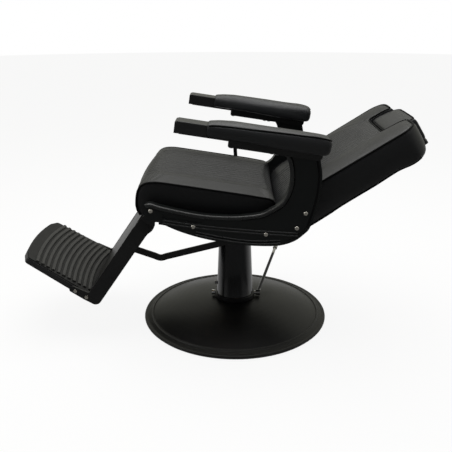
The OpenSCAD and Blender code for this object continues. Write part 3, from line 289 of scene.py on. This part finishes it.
# ---- Saddle and seat frame ----------------------------------------------------------------
# The saddle turns on the ram and carries the tilting frame: two steel side plates, two rails
# and two cross tubes, welded and sprayed black. Rubber stops meet the frame as it tilts.
frame_enamel = enamel("frame_enamel", (0.007, 0.0072, 0.0075), (0.011, 0.0112, 0.0115),
                      rough=0.42, grit=0.00015, coat=0.1)
dress(frame_enamel, "saddle", "side_plate_left", "side_plate_right", "front_cross_tube",
      "rear_cross_tube", "frame_rail_left", "frame_rail_right")
dress(turned_steel, "tilt_pin")
dress(foot_rubber, "tilt_stops")
plywood, shader, spot = start_finish("plywood", (0.36, 0.24, 0.13), Roughness=0.7)
rings = spot.node("TexWave", {"wave_type": "BANDS", "bands_direction": "X"},
                  {"Vector": spot, "Scale": 14.0, "Distortion": 6.0, "Detail": 3.0})
wire(shader, Base_Color=rings.between((0.30, 0.19, 0.10), (0.42, 0.29, 0.16)),
     Normal=bumpy(spot, rings, 0.0001, 0.5, 0.0006))
dress(plywood, "seat_board")

# ---- Seat ---------------------------------------------------------------------------------
# Foam on the plywood board, under black vinyl with a fine leather grain. The cover is sewn
# from a channelled top and plain side walls, with a corded seam where they meet.
seat_at = Matrix.Translation((0, -0.04, 0.4)) @ Matrix.Rotation(math.radians(-8.5), 4, "X") @ \
    Matrix.Translation((0, 0.04, -0.4))


def vinyl(name, dark, light, rough, channels=None, shine=0.42):
    """Grained vinyl. channels is (pitch, place, width, shade) where the top is sewn in channels; shade is how
    dark the painted shade in the sewn lines is.
    """
    look, shader, spot = start_finish(name, dark, Specular_IOR_Level=shine)
    cells = spot.node("TexVoronoi", {"feature": "DISTANCE_TO_EDGE"}, {"Vector": spot, "Scale": 620.0})
    relief = cells.maths("MINIMUM", 0.25) + spot.noise(55.0, 5.0) * 0.35
    colour = mottle(spot, dark, light, 14.0)
    gloss = spot.noise(9.0, 3.0) * 0.14 + (rough - 0.07)
    if channels:
        pitch_of, start, width, shade = channels
        wave = ((spot.axis("X") - start) * (math.pi / pitch_of)).maths("SINE").maths("ABSOLUTE")
        line = wave.node("MapRange", None, {"Value": wave, "From Min": 0.05, "From Max": width,
                                            "To Min": 1.0, "To Max": 0.0})
        line = line * spot.node("Attribute", {"attribute_name": "sewn"}, out="Fac")
        relief = relief - line * 2.0
        # Painted shade: the sewn lines are coloured towards black, as the shadow in their creases.
        colour = (line * shade).between(colour, (0.002, 0.002, 0.002))
        gloss = gloss + line * 0.18
    wire(shader, Base_Color=colour, Roughness=gloss, Normal=bumpy(spot, relief, 0.00022, 0.55))
    return look


def settle(pad):
    """Writes what the modifiers make into the piece's own mesh."""
    graph = bpy.context.evaluated_depsgraph_get()
    made = bpy.data.meshes.new_from_object(pad.evaluated_get(graph))
    pad.modifiers.clear()
    pad.data = made
    made.name = pad.name


def ribbon(lines):
    """Thin strips along some lines, so that the nearest point on them can be found."""
    corners, strips = [], []
    for line in lines:
        for a, b in zip(line, line[1:]):
            n = len(corners)
            corners += [Vector(a), Vector(b), Vector(b) + Vector((0.0001, 0.0001, 0.0001))]
            strips.append((n, n + 1, n + 2))
    return BVHTree.FromPolygons(corners, strips)


def puffed(name, nodes, place, voxel, shrink, cap, seams, rests, press=4.0, trim=None, soft=4):
    """A pad swollen from the solids of its nodes, held along its seams and where it rests."""
    bm = bmesh.new()
    for node in nodes:
        bm.from_mesh(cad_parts[node].data)
    bmesh.ops.remove_doubles(bm, verts=bm.verts, dist=0.00002)
    bm.transform(place.inverted())
    mesh = bpy.data.meshes.new(name)
    bm.to_mesh(mesh)
    bm.free()
    pad = bpy.data.objects.new(name, mesh)
    scene.collection.objects.link(pad)
    shell = pad.modifiers.new("shell", "REMESH")
    shell.mode, shell.voxel_size = "VOXEL", voxel
    steps = pad.modifiers.new("steps", "SMOOTH")
    steps.factor, steps.iterations = 0.5, soft
    tuck = pad.modifiers.new("tuck", "DISPLACE")
    tuck.strength, tuck.mid_level = -shrink, 0.0
    settle(pad)
    if trim:
        for v in pad.data.vertices:
            v.co = trim(v.co)
    swell(pad, ribbon(seams), voxel * 1.3, rests, press, cap)
    smooth = pad.modifiers.new("smooth", "SUBSURF")
    smooth.levels = smooth.render_levels = 1
    settle(pad)
    pad.data.shade_smooth()
    return pad


def swell(pad, stitches, hold, rests, press, cap):
    """Blows the cover up as cloth, held near its stitches, with each point's move capped."""
    rest = [v.co.copy() for v in pad.data.vertices]
    stitched = pad.vertex_groups.new(name="stitched")
    for v in pad.data.vertices:
        if stitches.find_nearest(v.co, hold)[0] is not None or rests(v.co):
            stitched.add([v.index], 1.0, "REPLACE")
    cloth = pad.modifiers.new("cloth", "CLOTH")
    cloth.settings.quality = 6
    cloth.settings.tension_stiffness = cloth.settings.compression_stiffness = 9
    cloth.settings.bending_stiffness = 1.0
    cloth.settings.use_pressure = True
    cloth.settings.uniform_pressure_force = press
    cloth.settings.effector_weights.gravity = 0
    cloth.settings.vertex_group_mass = "stitched"
    cloth.point_cache.frame_start, cloth.point_cache.frame_end = 1, 20
    for step in range(1, 21):
        scene.frame_set(step)
    settle(pad)
    scene.frame_set(1)
    for v, start in zip(pad.data.vertices, rest):
        move = v.co - start
        if move.length > cap:
            v.co = start + move * (cap / move.length)


def rounded(points, step=0.006, closed=False):
    """A smooth line through some points, cut into even short steps."""
    pts = [Vector(p) for p in points]
    ends = [pts[-1], *pts, pts[0], pts[1]] if closed else [pts[0], *pts, pts[-1]]
    line = []
    for a, b, c, d in zip(ends, ends[1:], ends[2:], ends[3:]):
        n = max(1, round((c - b).length / step))
        for i in range(n):
            t = i / n
            line.append(0.5 * (2 * b + (c - a) * t + (2 * a - 5 * b + 4 * c - d) * t * t
                               + (3 * b - a - 3 * c + d) * t ** 3))
    return line if closed else line + [pts[-1]]


def round_bar(name, points, radius, fineness, closed=False):
    """A round cord or moulding that follows some points."""
    curve = bpy.data.curves.new(name, "CURVE")
    curve.dimensions, curve.bevel_depth, curve.bevel_resolution = "3D", radius, fineness
    curve.use_fill_caps = True
    spline = curve.splines.new("POLY")
    spline.points.add(len(points) - 1)
    spline.use_cyclic_u = closed
    for point, p in zip(spline.points, points):
        point.co = (*p, 1)
    line = bpy.data.objects.new(name + "_line", curve)
    scene.collection.objects.link(line)
    mesh = bpy.data.meshes.new_from_object(line.evaluated_get(bpy.context.evaluated_depsgraph_get()))
    bpy.data.objects.remove(line)
    mesh.shade_smooth()
    bar = bpy.data.objects.new(name, mesh)
    scene.collection.objects.link(bar)
    return bar


def corded(name, pad, line, radius, sink=0.35, closed=False, groove=0.0015):
    """A piping cord laid along line on the pad's surface, which dips beside it."""
    cover = BVHTree.FromPolygons([v.co for v in pad.data.vertices], [p.vertices for p in pad.data.polygons])
    laid = []
    for p in line:
        place, normal, _, _ = cover.find_nearest(p)
        laid.append(place + normal * radius * (1 - 2 * sink))
    for _ in range(6):
        laid = [p if i in (0, len(laid) - 1) and not closed else
                (laid[i - 1] + 2 * p + laid[(i + 1) % len(laid)]) / 4 for i, p in enumerate(laid)]
    seam = ribbon([laid + laid[:1] if closed else laid])
    reach = radius * 3.2
    for v, normal in [(v, v.normal.copy()) for v in pad.data.vertices]:
        near = seam.find_nearest(v.co, reach)
        if near[0] is not None:
            v.co -= normal * groove * (1 - near[3] / reach)
    return round_bar(name, laid, radius, 2, closed)


def fit(piece, place, look, body, *nodes, pad=None, slot="leather"):
    """Sets a finished piece in its place, on its body, for the nodes it stands for."""
    piece.data.transform(place)
    piece.data.materials.clear()
    piece.data.materials.append(look)
    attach(piece, body)
    if nodes:
        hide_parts(*nodes)


def sew_channels(pad, facing, pitch_of, count, depth, inside, half=0.0034):
    """Cuts count + 1 sewn channels into the face that looks along facing, and marks them."""
    facing = Vector(facing)
    bm = bmesh.new()
    bm.from_mesh(pad.data)
    for k in range(count + 1):
        x = (k - count / 2) * pitch_of
        for shift in (-half, 0.0, half):
            faces = [f for f in bm.faces if f.normal.dot(facing) > 0.4
                     and abs(f.calc_center_median().x - x) < 0.012]
            edges = {e for f in faces for e in f.edges}
            verts = {v for f in faces for v in f.verts}
            bmesh.ops.bisect_plane(bm, geom=[*verts, *edges, *faces], dist=0.0001,
                                   plane_co=(x + shift, 0, 0), plane_no=(1, 0, 0))
    bm.normal_update()
    sewn = bm.verts.layers.float.new("sewn")
    outermost = count / 2 * pitch_of
    odd = count / 2 % 1
    for v in bm.verts:
        off = abs(v.co.x - pitch_of * round(v.co.x / pitch_of + odd) + pitch_of * odd)
        turned = ramp(v.normal.dot(facing), 0.5, 0.25) * inside(v.co)
        v[sewn] = turned if abs(v.co.x) < outermost + half else 0.0
        if off < half:
            v.co -= facing * depth * v[sewn] * (1 - off / half) ** 1.3
    bm.to_mesh(pad.data)
    bm.free()
    pad.data.shade_smooth()


def ramp(value, start, length):
    """Rises from 0 at start to 1 at start + length."""
    return min(1.0, max(0.0, (value - start) / length))


def hump(value, start, length):
    """Rises from 0 at start to 1 in the middle and falls to 0 at start + length."""
    return math.sin(math.pi * ramp(value, start, length))


both_sides = ((1, "left"), (-1, "right"))
black_vinyl = vinyl("black_vinyl", (0.0086, 0.0092, 0.0104), (0.0118, 0.0124, 0.0136), rough=0.46)
cord_vinyl = vinyl("cord_vinyl", (0.0022, 0.0022, 0.0026), (0.0034, 0.0034, 0.0038), rough=0.62,
                   shine=0.12)
seat_pitch = 0.025
# The seat top's sewn lines carry painted shade.
seat_vinyl = vinyl("seat_vinyl", (0.0072, 0.0076, 0.0084), (0.0102, 0.0106, 0.0114), rough=0.47,
                   channels=(seat_pitch, 0.15, 0.75, 0.5), shine=0.31)
seat_half = 0.25
seat_rim = [(-0.300, 0.421), (-0.312, 0.437), (-0.3195, 0.455), (-0.3220, 0.474), (-0.3205, 0.495),
            (-0.315, 0.513), (-0.304, 0.527), (-0.287, 0.5345), (-0.262, 0.540), (-0.2, 0.541),
            (-0.1, 0.541), (0.0, 0.541), (0.06, 0.541), (0.091, 0.5405), (0.106, 0.5345), (0.113, 0.520),
            (0.115, 0.500), (0.116, 0.470), (0.113, 0.446)]
seat_seams = [rounded([(side * seat_half, y, z) for y, z in seat_rim]) for side, _ in both_sides]


def fuller(p):
    """Fills out the roll along the seat's rear edge, the nose, and the plain borders."""
    back = ramp(p.y, 0.080, 0.030)
    high = ramp(p.z, 0.508, 0.030)
    low = ramp(p.z, 0.45, 0.02)
    swollen = 0.0075 * back * high
    nose = 0.004 * ramp(-p.y, 0.25, 0.05)
    border = hump(abs(p.x), 0.155, 0.095)
    top = ramp(p.z, 0.515, 0.015) * ramp(p.y, -0.31, 0.04) * (1 - back)
    return Vector((p.x, p.y - nose + swollen + 0.003 * back * low * (1 - high),
                   p.z + swollen * 0.7 + 0.0035 * border * top))


seat_pad = puffed("seat_cushion_cover", ["seat_cushion"], seat_at, voxel=0.005, shrink=0.0008, cap=0.005,
                  seams=seat_seams, rests=lambda p: p.z < 0.442, trim=fuller)
for (_, label), seam in zip(both_sides, seat_seams):
    cord = corded("seat_piping_" + label, seat_pad, seam, radius=0.0032)
    fit(cord, seat_at, cord_vinyl, "seat")
sew_channels(seat_pad, (0, 0, 1), seat_pitch, count=12, depth=0.0013,
             inside=lambda p: ramp(p.y, -0.312, 0.01), half=0.0060)
fit(seat_pad, seat_at, seat_vinyl, "seat", "seat_cushion", pad=0.9)

# ---- Side panels --------------------------------------------------------------------------
# Each side is one C-shaped moulding in black plastic with a fine spark grain. A round lip
# follows its inner edge, and it is held to the steel plate behind by five dome-head screws.
panel_grain, shader, spot = start_finish("panel_grain", (0.004, 0.005, 0.005), Specular_IOR_Level=0.35)
wire(shader, Base_Color=mottle(spot, (0.0040, 0.0052, 0.0052), (0.0062, 0.0074, 0.0074), 9.0),
     Roughness=spot.noise(12.0, 5.0) * 0.14 + 0.33,
     Normal=bumpy(spot, spot.noise(900.0), 0.00012, 0.6, 0.0016))
# The lip and beads belong to the panel's black moulding; their lighter base colour is painted highlight for
# the light lines along their crests, and their gloss is their own.
lip_gloss_painted_highlight, shader, spot = start_finish("lip_gloss_painted_highlight", (0.010, 0.0108, 0.0108), Specular_IOR_Level=0.55)
rubbed = spot.noise(35.0, 5.0)
wire(shader, Base_Color=mottle(spot, (0.009, 0.0098, 0.0098), (0.013, 0.0138, 0.0136), 22.0),
     Roughness=rubbed * 0.10 + 0.24, Normal=bumpy(spot, rubbed, 0.00002, 0.2))
nickel = metal("nickel", (0.92, 0.86, 0.76), rough=0.16, scratch=0.2)
dress(panel_grain, "side_panel_left", "side_panel_right")
dress(nickel, "panel_screws")
lip = [(-0.283, 0.478), (-0.266, 0.483), (-0.236, 0.478), (-0.174, 0.473), (-0.114, 0.471), (-0.054, 0.475),
       (0.005, 0.484), (0.063, 0.500), (0.090, 0.517), (0.117, 0.540), (0.130, 0.567), (0.136, 0.601),
       (0.132, 0.637), (0.120, 0.672), (0.109, 0.688)]
beads = [(-0.224, 0.435), (-0.104, 0.436), (0.038, 0.4435), (0.186, 0.456)]
slot_bead = [(-0.120, 0.411), (-0.018, 0.406), (0.062, 0.409), (0.139, 0.423)]
welt = [(0.211, 0.690), (0.224, 0.651), (0.228, 0.621), (0.230, 0.575), (0.226, 0.521), (0.219, 0.479)]
# Each moulding: its line, how far it lies beside it, its distance from the chair's middle,
# its radius and its finish.
mouldings = {
    "panel_lip_": (lip, -0.0048, 0.2938, 0.0062, lip_gloss_painted_highlight),
    "panel_bead_upper_": (beads, 0.0015, 0.2942, 0.0024, lip_gloss_painted_highlight),
    "panel_bead_lower_": (beads, -0.0075, 0.2942, 0.0024, lip_gloss_painted_highlight),
    "panel_slot_bead_": (slot_bead, -0.0050, 0.2942, 0.0024, lip_gloss_painted_highlight),
    "panel_sill_bead_": (slot_bead, 0.0040, 0.2938, 0.0020, lip_gloss_painted_highlight),
    # A near-black cord in the groove inside the lip's lower run: painted shade for the groove's shadow.
    "panel_lip_shade_cord_": (lip[6:], -0.0122, 0.2938, 0.0018, cord_vinyl),
    "panel_welt_": (welt, -0.0090, 0.2934, 0.0032, cord_vinyl)}


def beside(line, shift):
    """A line in the panel's plane, moved sideways by shift."""
    moved = []
    for i, p in enumerate(line):
        run = line[min(i + 1, len(line) - 1)] - line[max(i - 1, 0)]
        moved.append(p + Vector((0, -run.z, run.y)).normalized() * shift)
    return moved


for side, label in both_sides:
    for name, (points, shift, out, radius, look) in mouldings.items():
        laid = beside(rounded([(0, y, z) for y, z in points], 0.005), shift)
        moulding = round_bar(name + label, [(side * out, p.y, p.z) for p in laid], radius, 3)
        fit(moulding, seat_at, look, "seat", slot="panel_black")

# ---- Armrests -----------------------------------------------------------------------------
# A bracket on the panel carries a vinyl pad and, in front of it, a solid block with a
# brushed top for the hand. The pad has one corded seam, round its outer edge and its rear.
block_gloss, shader, spot = start_finish("block_gloss", (0.014, 0.014, 0.014), Specular_IOR_Level=0.24)
brushed = spot.stretched((1.0, 0.06, 1.0)).noise(900.0, 3.0)
wire(shader, Base_Color=mottle(spot, (0.012, 0.012, 0.012), (0.018, 0.018, 0.018), 25.0),
     Roughness=brushed * 0.18 + 0.26, Normal=bumpy(spot, brushed, 0.00008, 0.5, 0.0015))
dress(block_gloss, "arm_block_left", "arm_block_right")
dress(frame_enamel, "arm_bracket_left", "arm_bracket_right")
dress(turned_steel, "arm_bolts")
arm_x = 0.281
arm_round = 0.022
arm_edge = [(0.039, -0.126, 0.7465), (0.0395, -0.120, 0.7500), (0.0395, -0.10, 0.7518),
            (0.0395, -0.06, 0.7528), (0.0395, 0.0, 0.7546), (0.0395, 0.10, 0.7587),
            (0.0395, 0.19, 0.7607), (0.0385, 0.214, 0.7597), (0.0345, 0.2255, 0.7565),
            (0.026, 0.2300, 0.7535), (0.0, 0.2310, 0.7525)]
for side, label in both_sides:
    seam = rounded([(side * (arm_x + x), y, z) for x, y, z in arm_edge], 0.004)

    def soften(p, side=side):
        """Crowns the outer side, and rounds the edge on the sitter's side."""
        inward = arm_x - side * p.x - 0.0175
        if inward <= 0:
            crown = hump(p.z, 0.7165, 0.038) * ramp(side * p.x - arm_x, 0.030, 0.006)
            return Vector((p.x + side * 0.0035 * crown, p.y, p.z))
        drop = arm_round - math.sqrt(max(0.0, arm_round ** 2 - min(inward, arm_round) ** 2))
        return Vector((p.x, p.y, p.z - drop * ramp(p.z, 0.716, 0.030)))

    arm = puffed("arm_cover_" + label, ["arm_pad_" + label], seat_at, voxel=0.004, shrink=0.0004,
                 cap=0.0035, seams=[seam], rests=lambda p: p.z < 0.7165 or p.y < -0.1255,
                 press=3.0, trim=soften)
    for v in arm.data.vertices:
        front = ramp(-v.co.y, 0.108, 0.014)
        rear = ramp(v.co.y, -0.02, 0.16)
        low = ramp(-v.co.z, -0.740, 0.022)
        skirt = ramp(abs(v.co.x - side * arm_x), 0.0265, 0.006)
        v.co.y = max(-0.1279, v.co.y - 0.0035 * front)
        v.co.z -= 0.006 * rear * low * skirt
    cord = corded("arm_piping_" + label, arm, seam, radius=0.0022, groove=0.0012)
    fit(cord, seat_at, cord_vinyl, "seat")
    fit(arm, seat_at, black_vinyl, "seat", "arm_pad_" + label, pad=0.95)

# ---- Recline lever ------------------------------------------------------------------------
# A flat steel lever with a moulded plastic grip, on a shaft through the right-hand panel.
grip, shader, spot = start_finish("grip_plastic", (0.012, 0.012, 0.012), Roughness=0.35)
wire(shader, Base_Color=mottle(spot, (0.010, 0.010, 0.010), (0.016, 0.016, 0.016), 60.0),
     Normal=bumpy(spot, spot.noise(700.0), 0.0001, 0.4, 0.001))
dress(frame_enamel, "recline_lever")
dress(grip, "recline_knob")

# ---- Back ---------------------------------------------------------------------------------
# The back is a foam pad and two upper wings sewn as one cover, with channels down its middle.
# A corded seam runs round the front and dips round the place of the headrest. Behind them
# stand a board stained black and two steel uprights on the torque tube.
back_at = seat_at @ Matrix.Translation((0, 0.187, 0.505)) @ Matrix.Rotation(math.radians(-49.1), 4, "X")
stained_board = enamel("stained_board", (0.006, 0.006, 0.006), (0.010, 0.0098, 0.0094),
                       rough=0.62, grit=0.0002, coat=0.0)
dress(stained_board, "back_board")
dress(frame_enamel, "torque_tube", "back_upright_left", "back_upright_right")
dress(turned_steel, "headrest_guides")
back_half = 0.2355
wing_inner = 0.14
corner = 0.062


def shoulder(p):
    """Rounds the back's upper corners in front view, and fills out the wings' sides and rear."""
    wing = ramp(p.z, 0.316, 0.044) * ramp(abs(p.x), 0.15, 0.03)
    crown = hump(p.y, -0.05, 0.10) * ramp(abs(p.x), 0.21, 0.015)
    start = 0.124 - 0.0135 * ramp(p.z, 0.335, 0.02)
    border = hump(abs(p.x), start, back_half - start)
    front = ramp(-p.y, 0.035, 0.01) * ramp(p.z, -0.02, 0.05) * ramp(-p.z, -0.438, 0.03)
    p = Vector((p.x + math.copysign(0.004 * crown, p.x),
                p.y - 0.0045 * border * front + 0.009 * wing * ramp(p.y, 0.005, 0.025), p.z))
    high = p.z - 0.381
    if high <= 0:
        return p
    p = Vector((p.x, p.y, p.z - 0.006 * min(1.0, high / 0.04)))
    if abs(p.x) <= wing_inner:
        return p
    wide = 0.235 - 0.26 * max(0.0, high - 0.03) ** 1.2 * 1.6
    limit = 0.173 + math.sqrt(max(0.0, corner ** 2 - min(high, corner) ** 2))
    squeeze = min(1.0, (limit - wing_inner) / (wide - wing_inner))
    return Vector((math.copysign(wing_inner + (abs(p.x) - wing_inner) * squeeze, p.x), p.y, p.z))


front_edge = [(0.233, -0.055), (0.235, -0.03), (back_half, 0.05), (back_half, 0.2), (back_half, 0.36),
              (0.2345, 0.39), (0.229, 0.406), (0.218, 0.420), (0.203, 0.429), (0.185, 0.433),
              (0.145, 0.434), (0.122, 0.432)]
front_seams = [rounded([(side * x, -0.05 + (0.0 if s > -0.04 else 0.012), s) for x, s in front_edge])
               for side, _ in both_sides]
notch_half = [(0.1105, 0.430), (0.1105, 0.400), (0.1105, 0.360), (0.108, 0.350), (0.098, 0.3465)]
notch_frame = rounded([(x, -0.052, s) for x, s in notch_half]
                      + [(-x, -0.052, s) for x, s in reversed(notch_half)])
rear_half = [(0.222, 0.063, 0.0), (0.2225, 0.062, 0.05), (0.2225, 0.056, 0.15), (0.223, 0.053, 0.25),
             (0.224, 0.050, 0.320), (0.226, 0.056, 0.352), (0.226, 0.053, 0.372), (0.221, 0.046, 0.398)]
rear_seams = [rounded([(side * x, y, s) for x, y, s in rear_half]) for side, _ in both_sides]
channelled, back_channels = 0.24, 11
back_pitch = channelled / back_channels
# The back's sewn lines carry painted shade.
back_vinyl = vinyl("back_vinyl", (0.0072, 0.0076, 0.0084), (0.0102, 0.0106, 0.0114), rough=0.47,
                   channels=(back_pitch, 0.12, 0.34, 0.7), shine=0.35)
back_nodes = ["back_cushion", "back_wing_left", "back_wing_right", "back_cover"]
back_pad = puffed("back_cushion_cover", back_nodes, back_at, voxel=channelled / 44, shrink=0.0006,
                  cap=0.005, seams=[*front_seams, notch_frame, *rear_seams],
                  rests=lambda p: (0.006 < p.y < 0.049 and abs(p.x) < 0.205) or p.z < -0.055 or p.z > 0.433,
                  trim=shoulder)
for label, seam, radius in (("left", front_seams[0], 0.0030), ("right", front_seams[1], 0.0030),
                            ("notch", notch_frame, 0.0022)):
    cord = corded("back_piping_" + label, back_pad, seam, radius)
    fit(cord, back_at, cord_vinyl, "back")
for (_, label), seam in zip(both_sides, rear_seams):
    cord = corded("back_rear_piping_" + label, back_pad, seam, radius=0.0026, sink=0.5)
    fit(cord, back_at, cord_vinyl, "back")
sew_channels(back_pad, (0, -1, 0), back_pitch, count=back_channels, depth=0.0028,
             inside=lambda p: ramp(-p.z, -0.338, 0.006))
fit(back_pad, back_at, back_vinyl, "back", *back_nodes, pad=0.9)

# ---- Headrest -----------------------------------------------------------------------------
# A firm block that draws out of the back on two chromed posts, covered in the same vinyl,
# with one corded seam round its front face.
dress(polished_chrome, "headrest_posts")
dress(grip, "headrest_board")
head_side = [(0.098, -0.042, 0.358), (0.101, -0.043, 0.37), (0.101, -0.040, 0.405), (0.1005, -0.036, 0.432),
             (0.098, -0.030, 0.445), (0.088, -0.027, 0.4495), (0.06, -0.027, 0.4505)]
head_front = rounded(head_side + [(-x, y, s) for x, y, s in reversed(head_side)]
                     + [(-0.08, -0.042, 0.354), (0.08, -0.042, 0.354)], closed=True)
head_pad = puffed("headrest_cover", ["headrest_pad"], back_at, voxel=0.0045, shrink=0.0002, cap=0.0035,
                  seams=[head_front], rests=lambda p: p.y > 0.038, press=3.0, soft=2,
                  trim=lambda p: Vector((p.x, p.y, p.z + 0.004 * ramp(p.z, 0.42, 0.03))))
cord = corded("headrest_piping", head_pad, head_front, radius=0.0024, closed=True)
fit(cord, back_at, cord_vinyl, "headrest")
fit(head_pad, back_at, black_vinyl, "headrest", "headrest_pad", pad=0.95)

# ---- Footrest -----------------------------------------------------------------------------
# Two bent flat-bar arms carry a sheet-steel leg panel and a tread plate, on which a moulded
# rubber mat lies. Its ribs bow forward like the toe edge, with painted shade in the gaps between.
panel_sheet = enamel("panel_sheet", (0.009, 0.0088, 0.0085), (0.014, 0.0138, 0.0134),
                     rough=0.42, grit=0.0001, coat=0.02, shine=0.17)
plate_trim = enamel("plate_trim", (0.013, 0.013, 0.014), (0.018, 0.018, 0.019),
                    rough=0.5, grit=0.0002, coat=0.05)
dress(frame_enamel, "foot_arm_left", "foot_arm_right")
dress(panel_sheet, "leg_panel")
dress(plate_trim, "foot_plate")
dress(turned_steel, "footrest_shaft")
dress(nickel, "foot_screws")
foot_at = seat_at @ Matrix.Translation((0, -0.261, 0.423)) @ Matrix.Rotation(math.radians(-26.1), 4, "X")
plate_at = foot_at @ Matrix.Translation((0, 0, -0.385)) @ Matrix.Rotation(math.radians(3), 4, "X")
plate_up = plate_at.to_3x3().col[2]
tread, shader, spot = start_finish("tread_rubber", (0.036, 0.0357, 0.034), Specular_IOR_Level=0.25)
rise = spot.node("VectorMath", {"operation": "DOT_PRODUCT"}, {0: spot, 1: plate_up}, "Value")
rib_foot, rib_top = 0.0225, 0.0268
# Painted shade: where the surface lies low between the ribs its colour goes near black, and the rib tops keep
# the rubber's own mottle.
crest_clear_of_painted_shade = (rise - plate_up.dot(plate_at.translation)).ease(rib_foot, rib_top)
rib_mottle = mottle(spot, (0.034, 0.0335, 0.0315), (0.048, 0.0475, 0.045), 16.0)
wire(shader, Base_Color=crest_clear_of_painted_shade.between((0.010, 0.010, 0.0095), rib_mottle),
     Roughness=spot.noise(20.0, 6.0) * 0.2 + 0.5,
     Normal=bumpy(spot, spot.noise(500.0, 3.0), 0.00025, 0.5, 0.0012))
dress(tread, "foot_mat")

# ---- Footrest link and recline lock -------------------------------------------------------
# A bent flat bar joins the back's torque tube to a clevis on the leg panel. The lock is a
# steel tube with a chromed rod that slides in it as the back reclines.
dress(frame_enamel, "footrest_link", "link_clevis", "lock_cylinder")
dress(polished_chrome, "lock_rod")
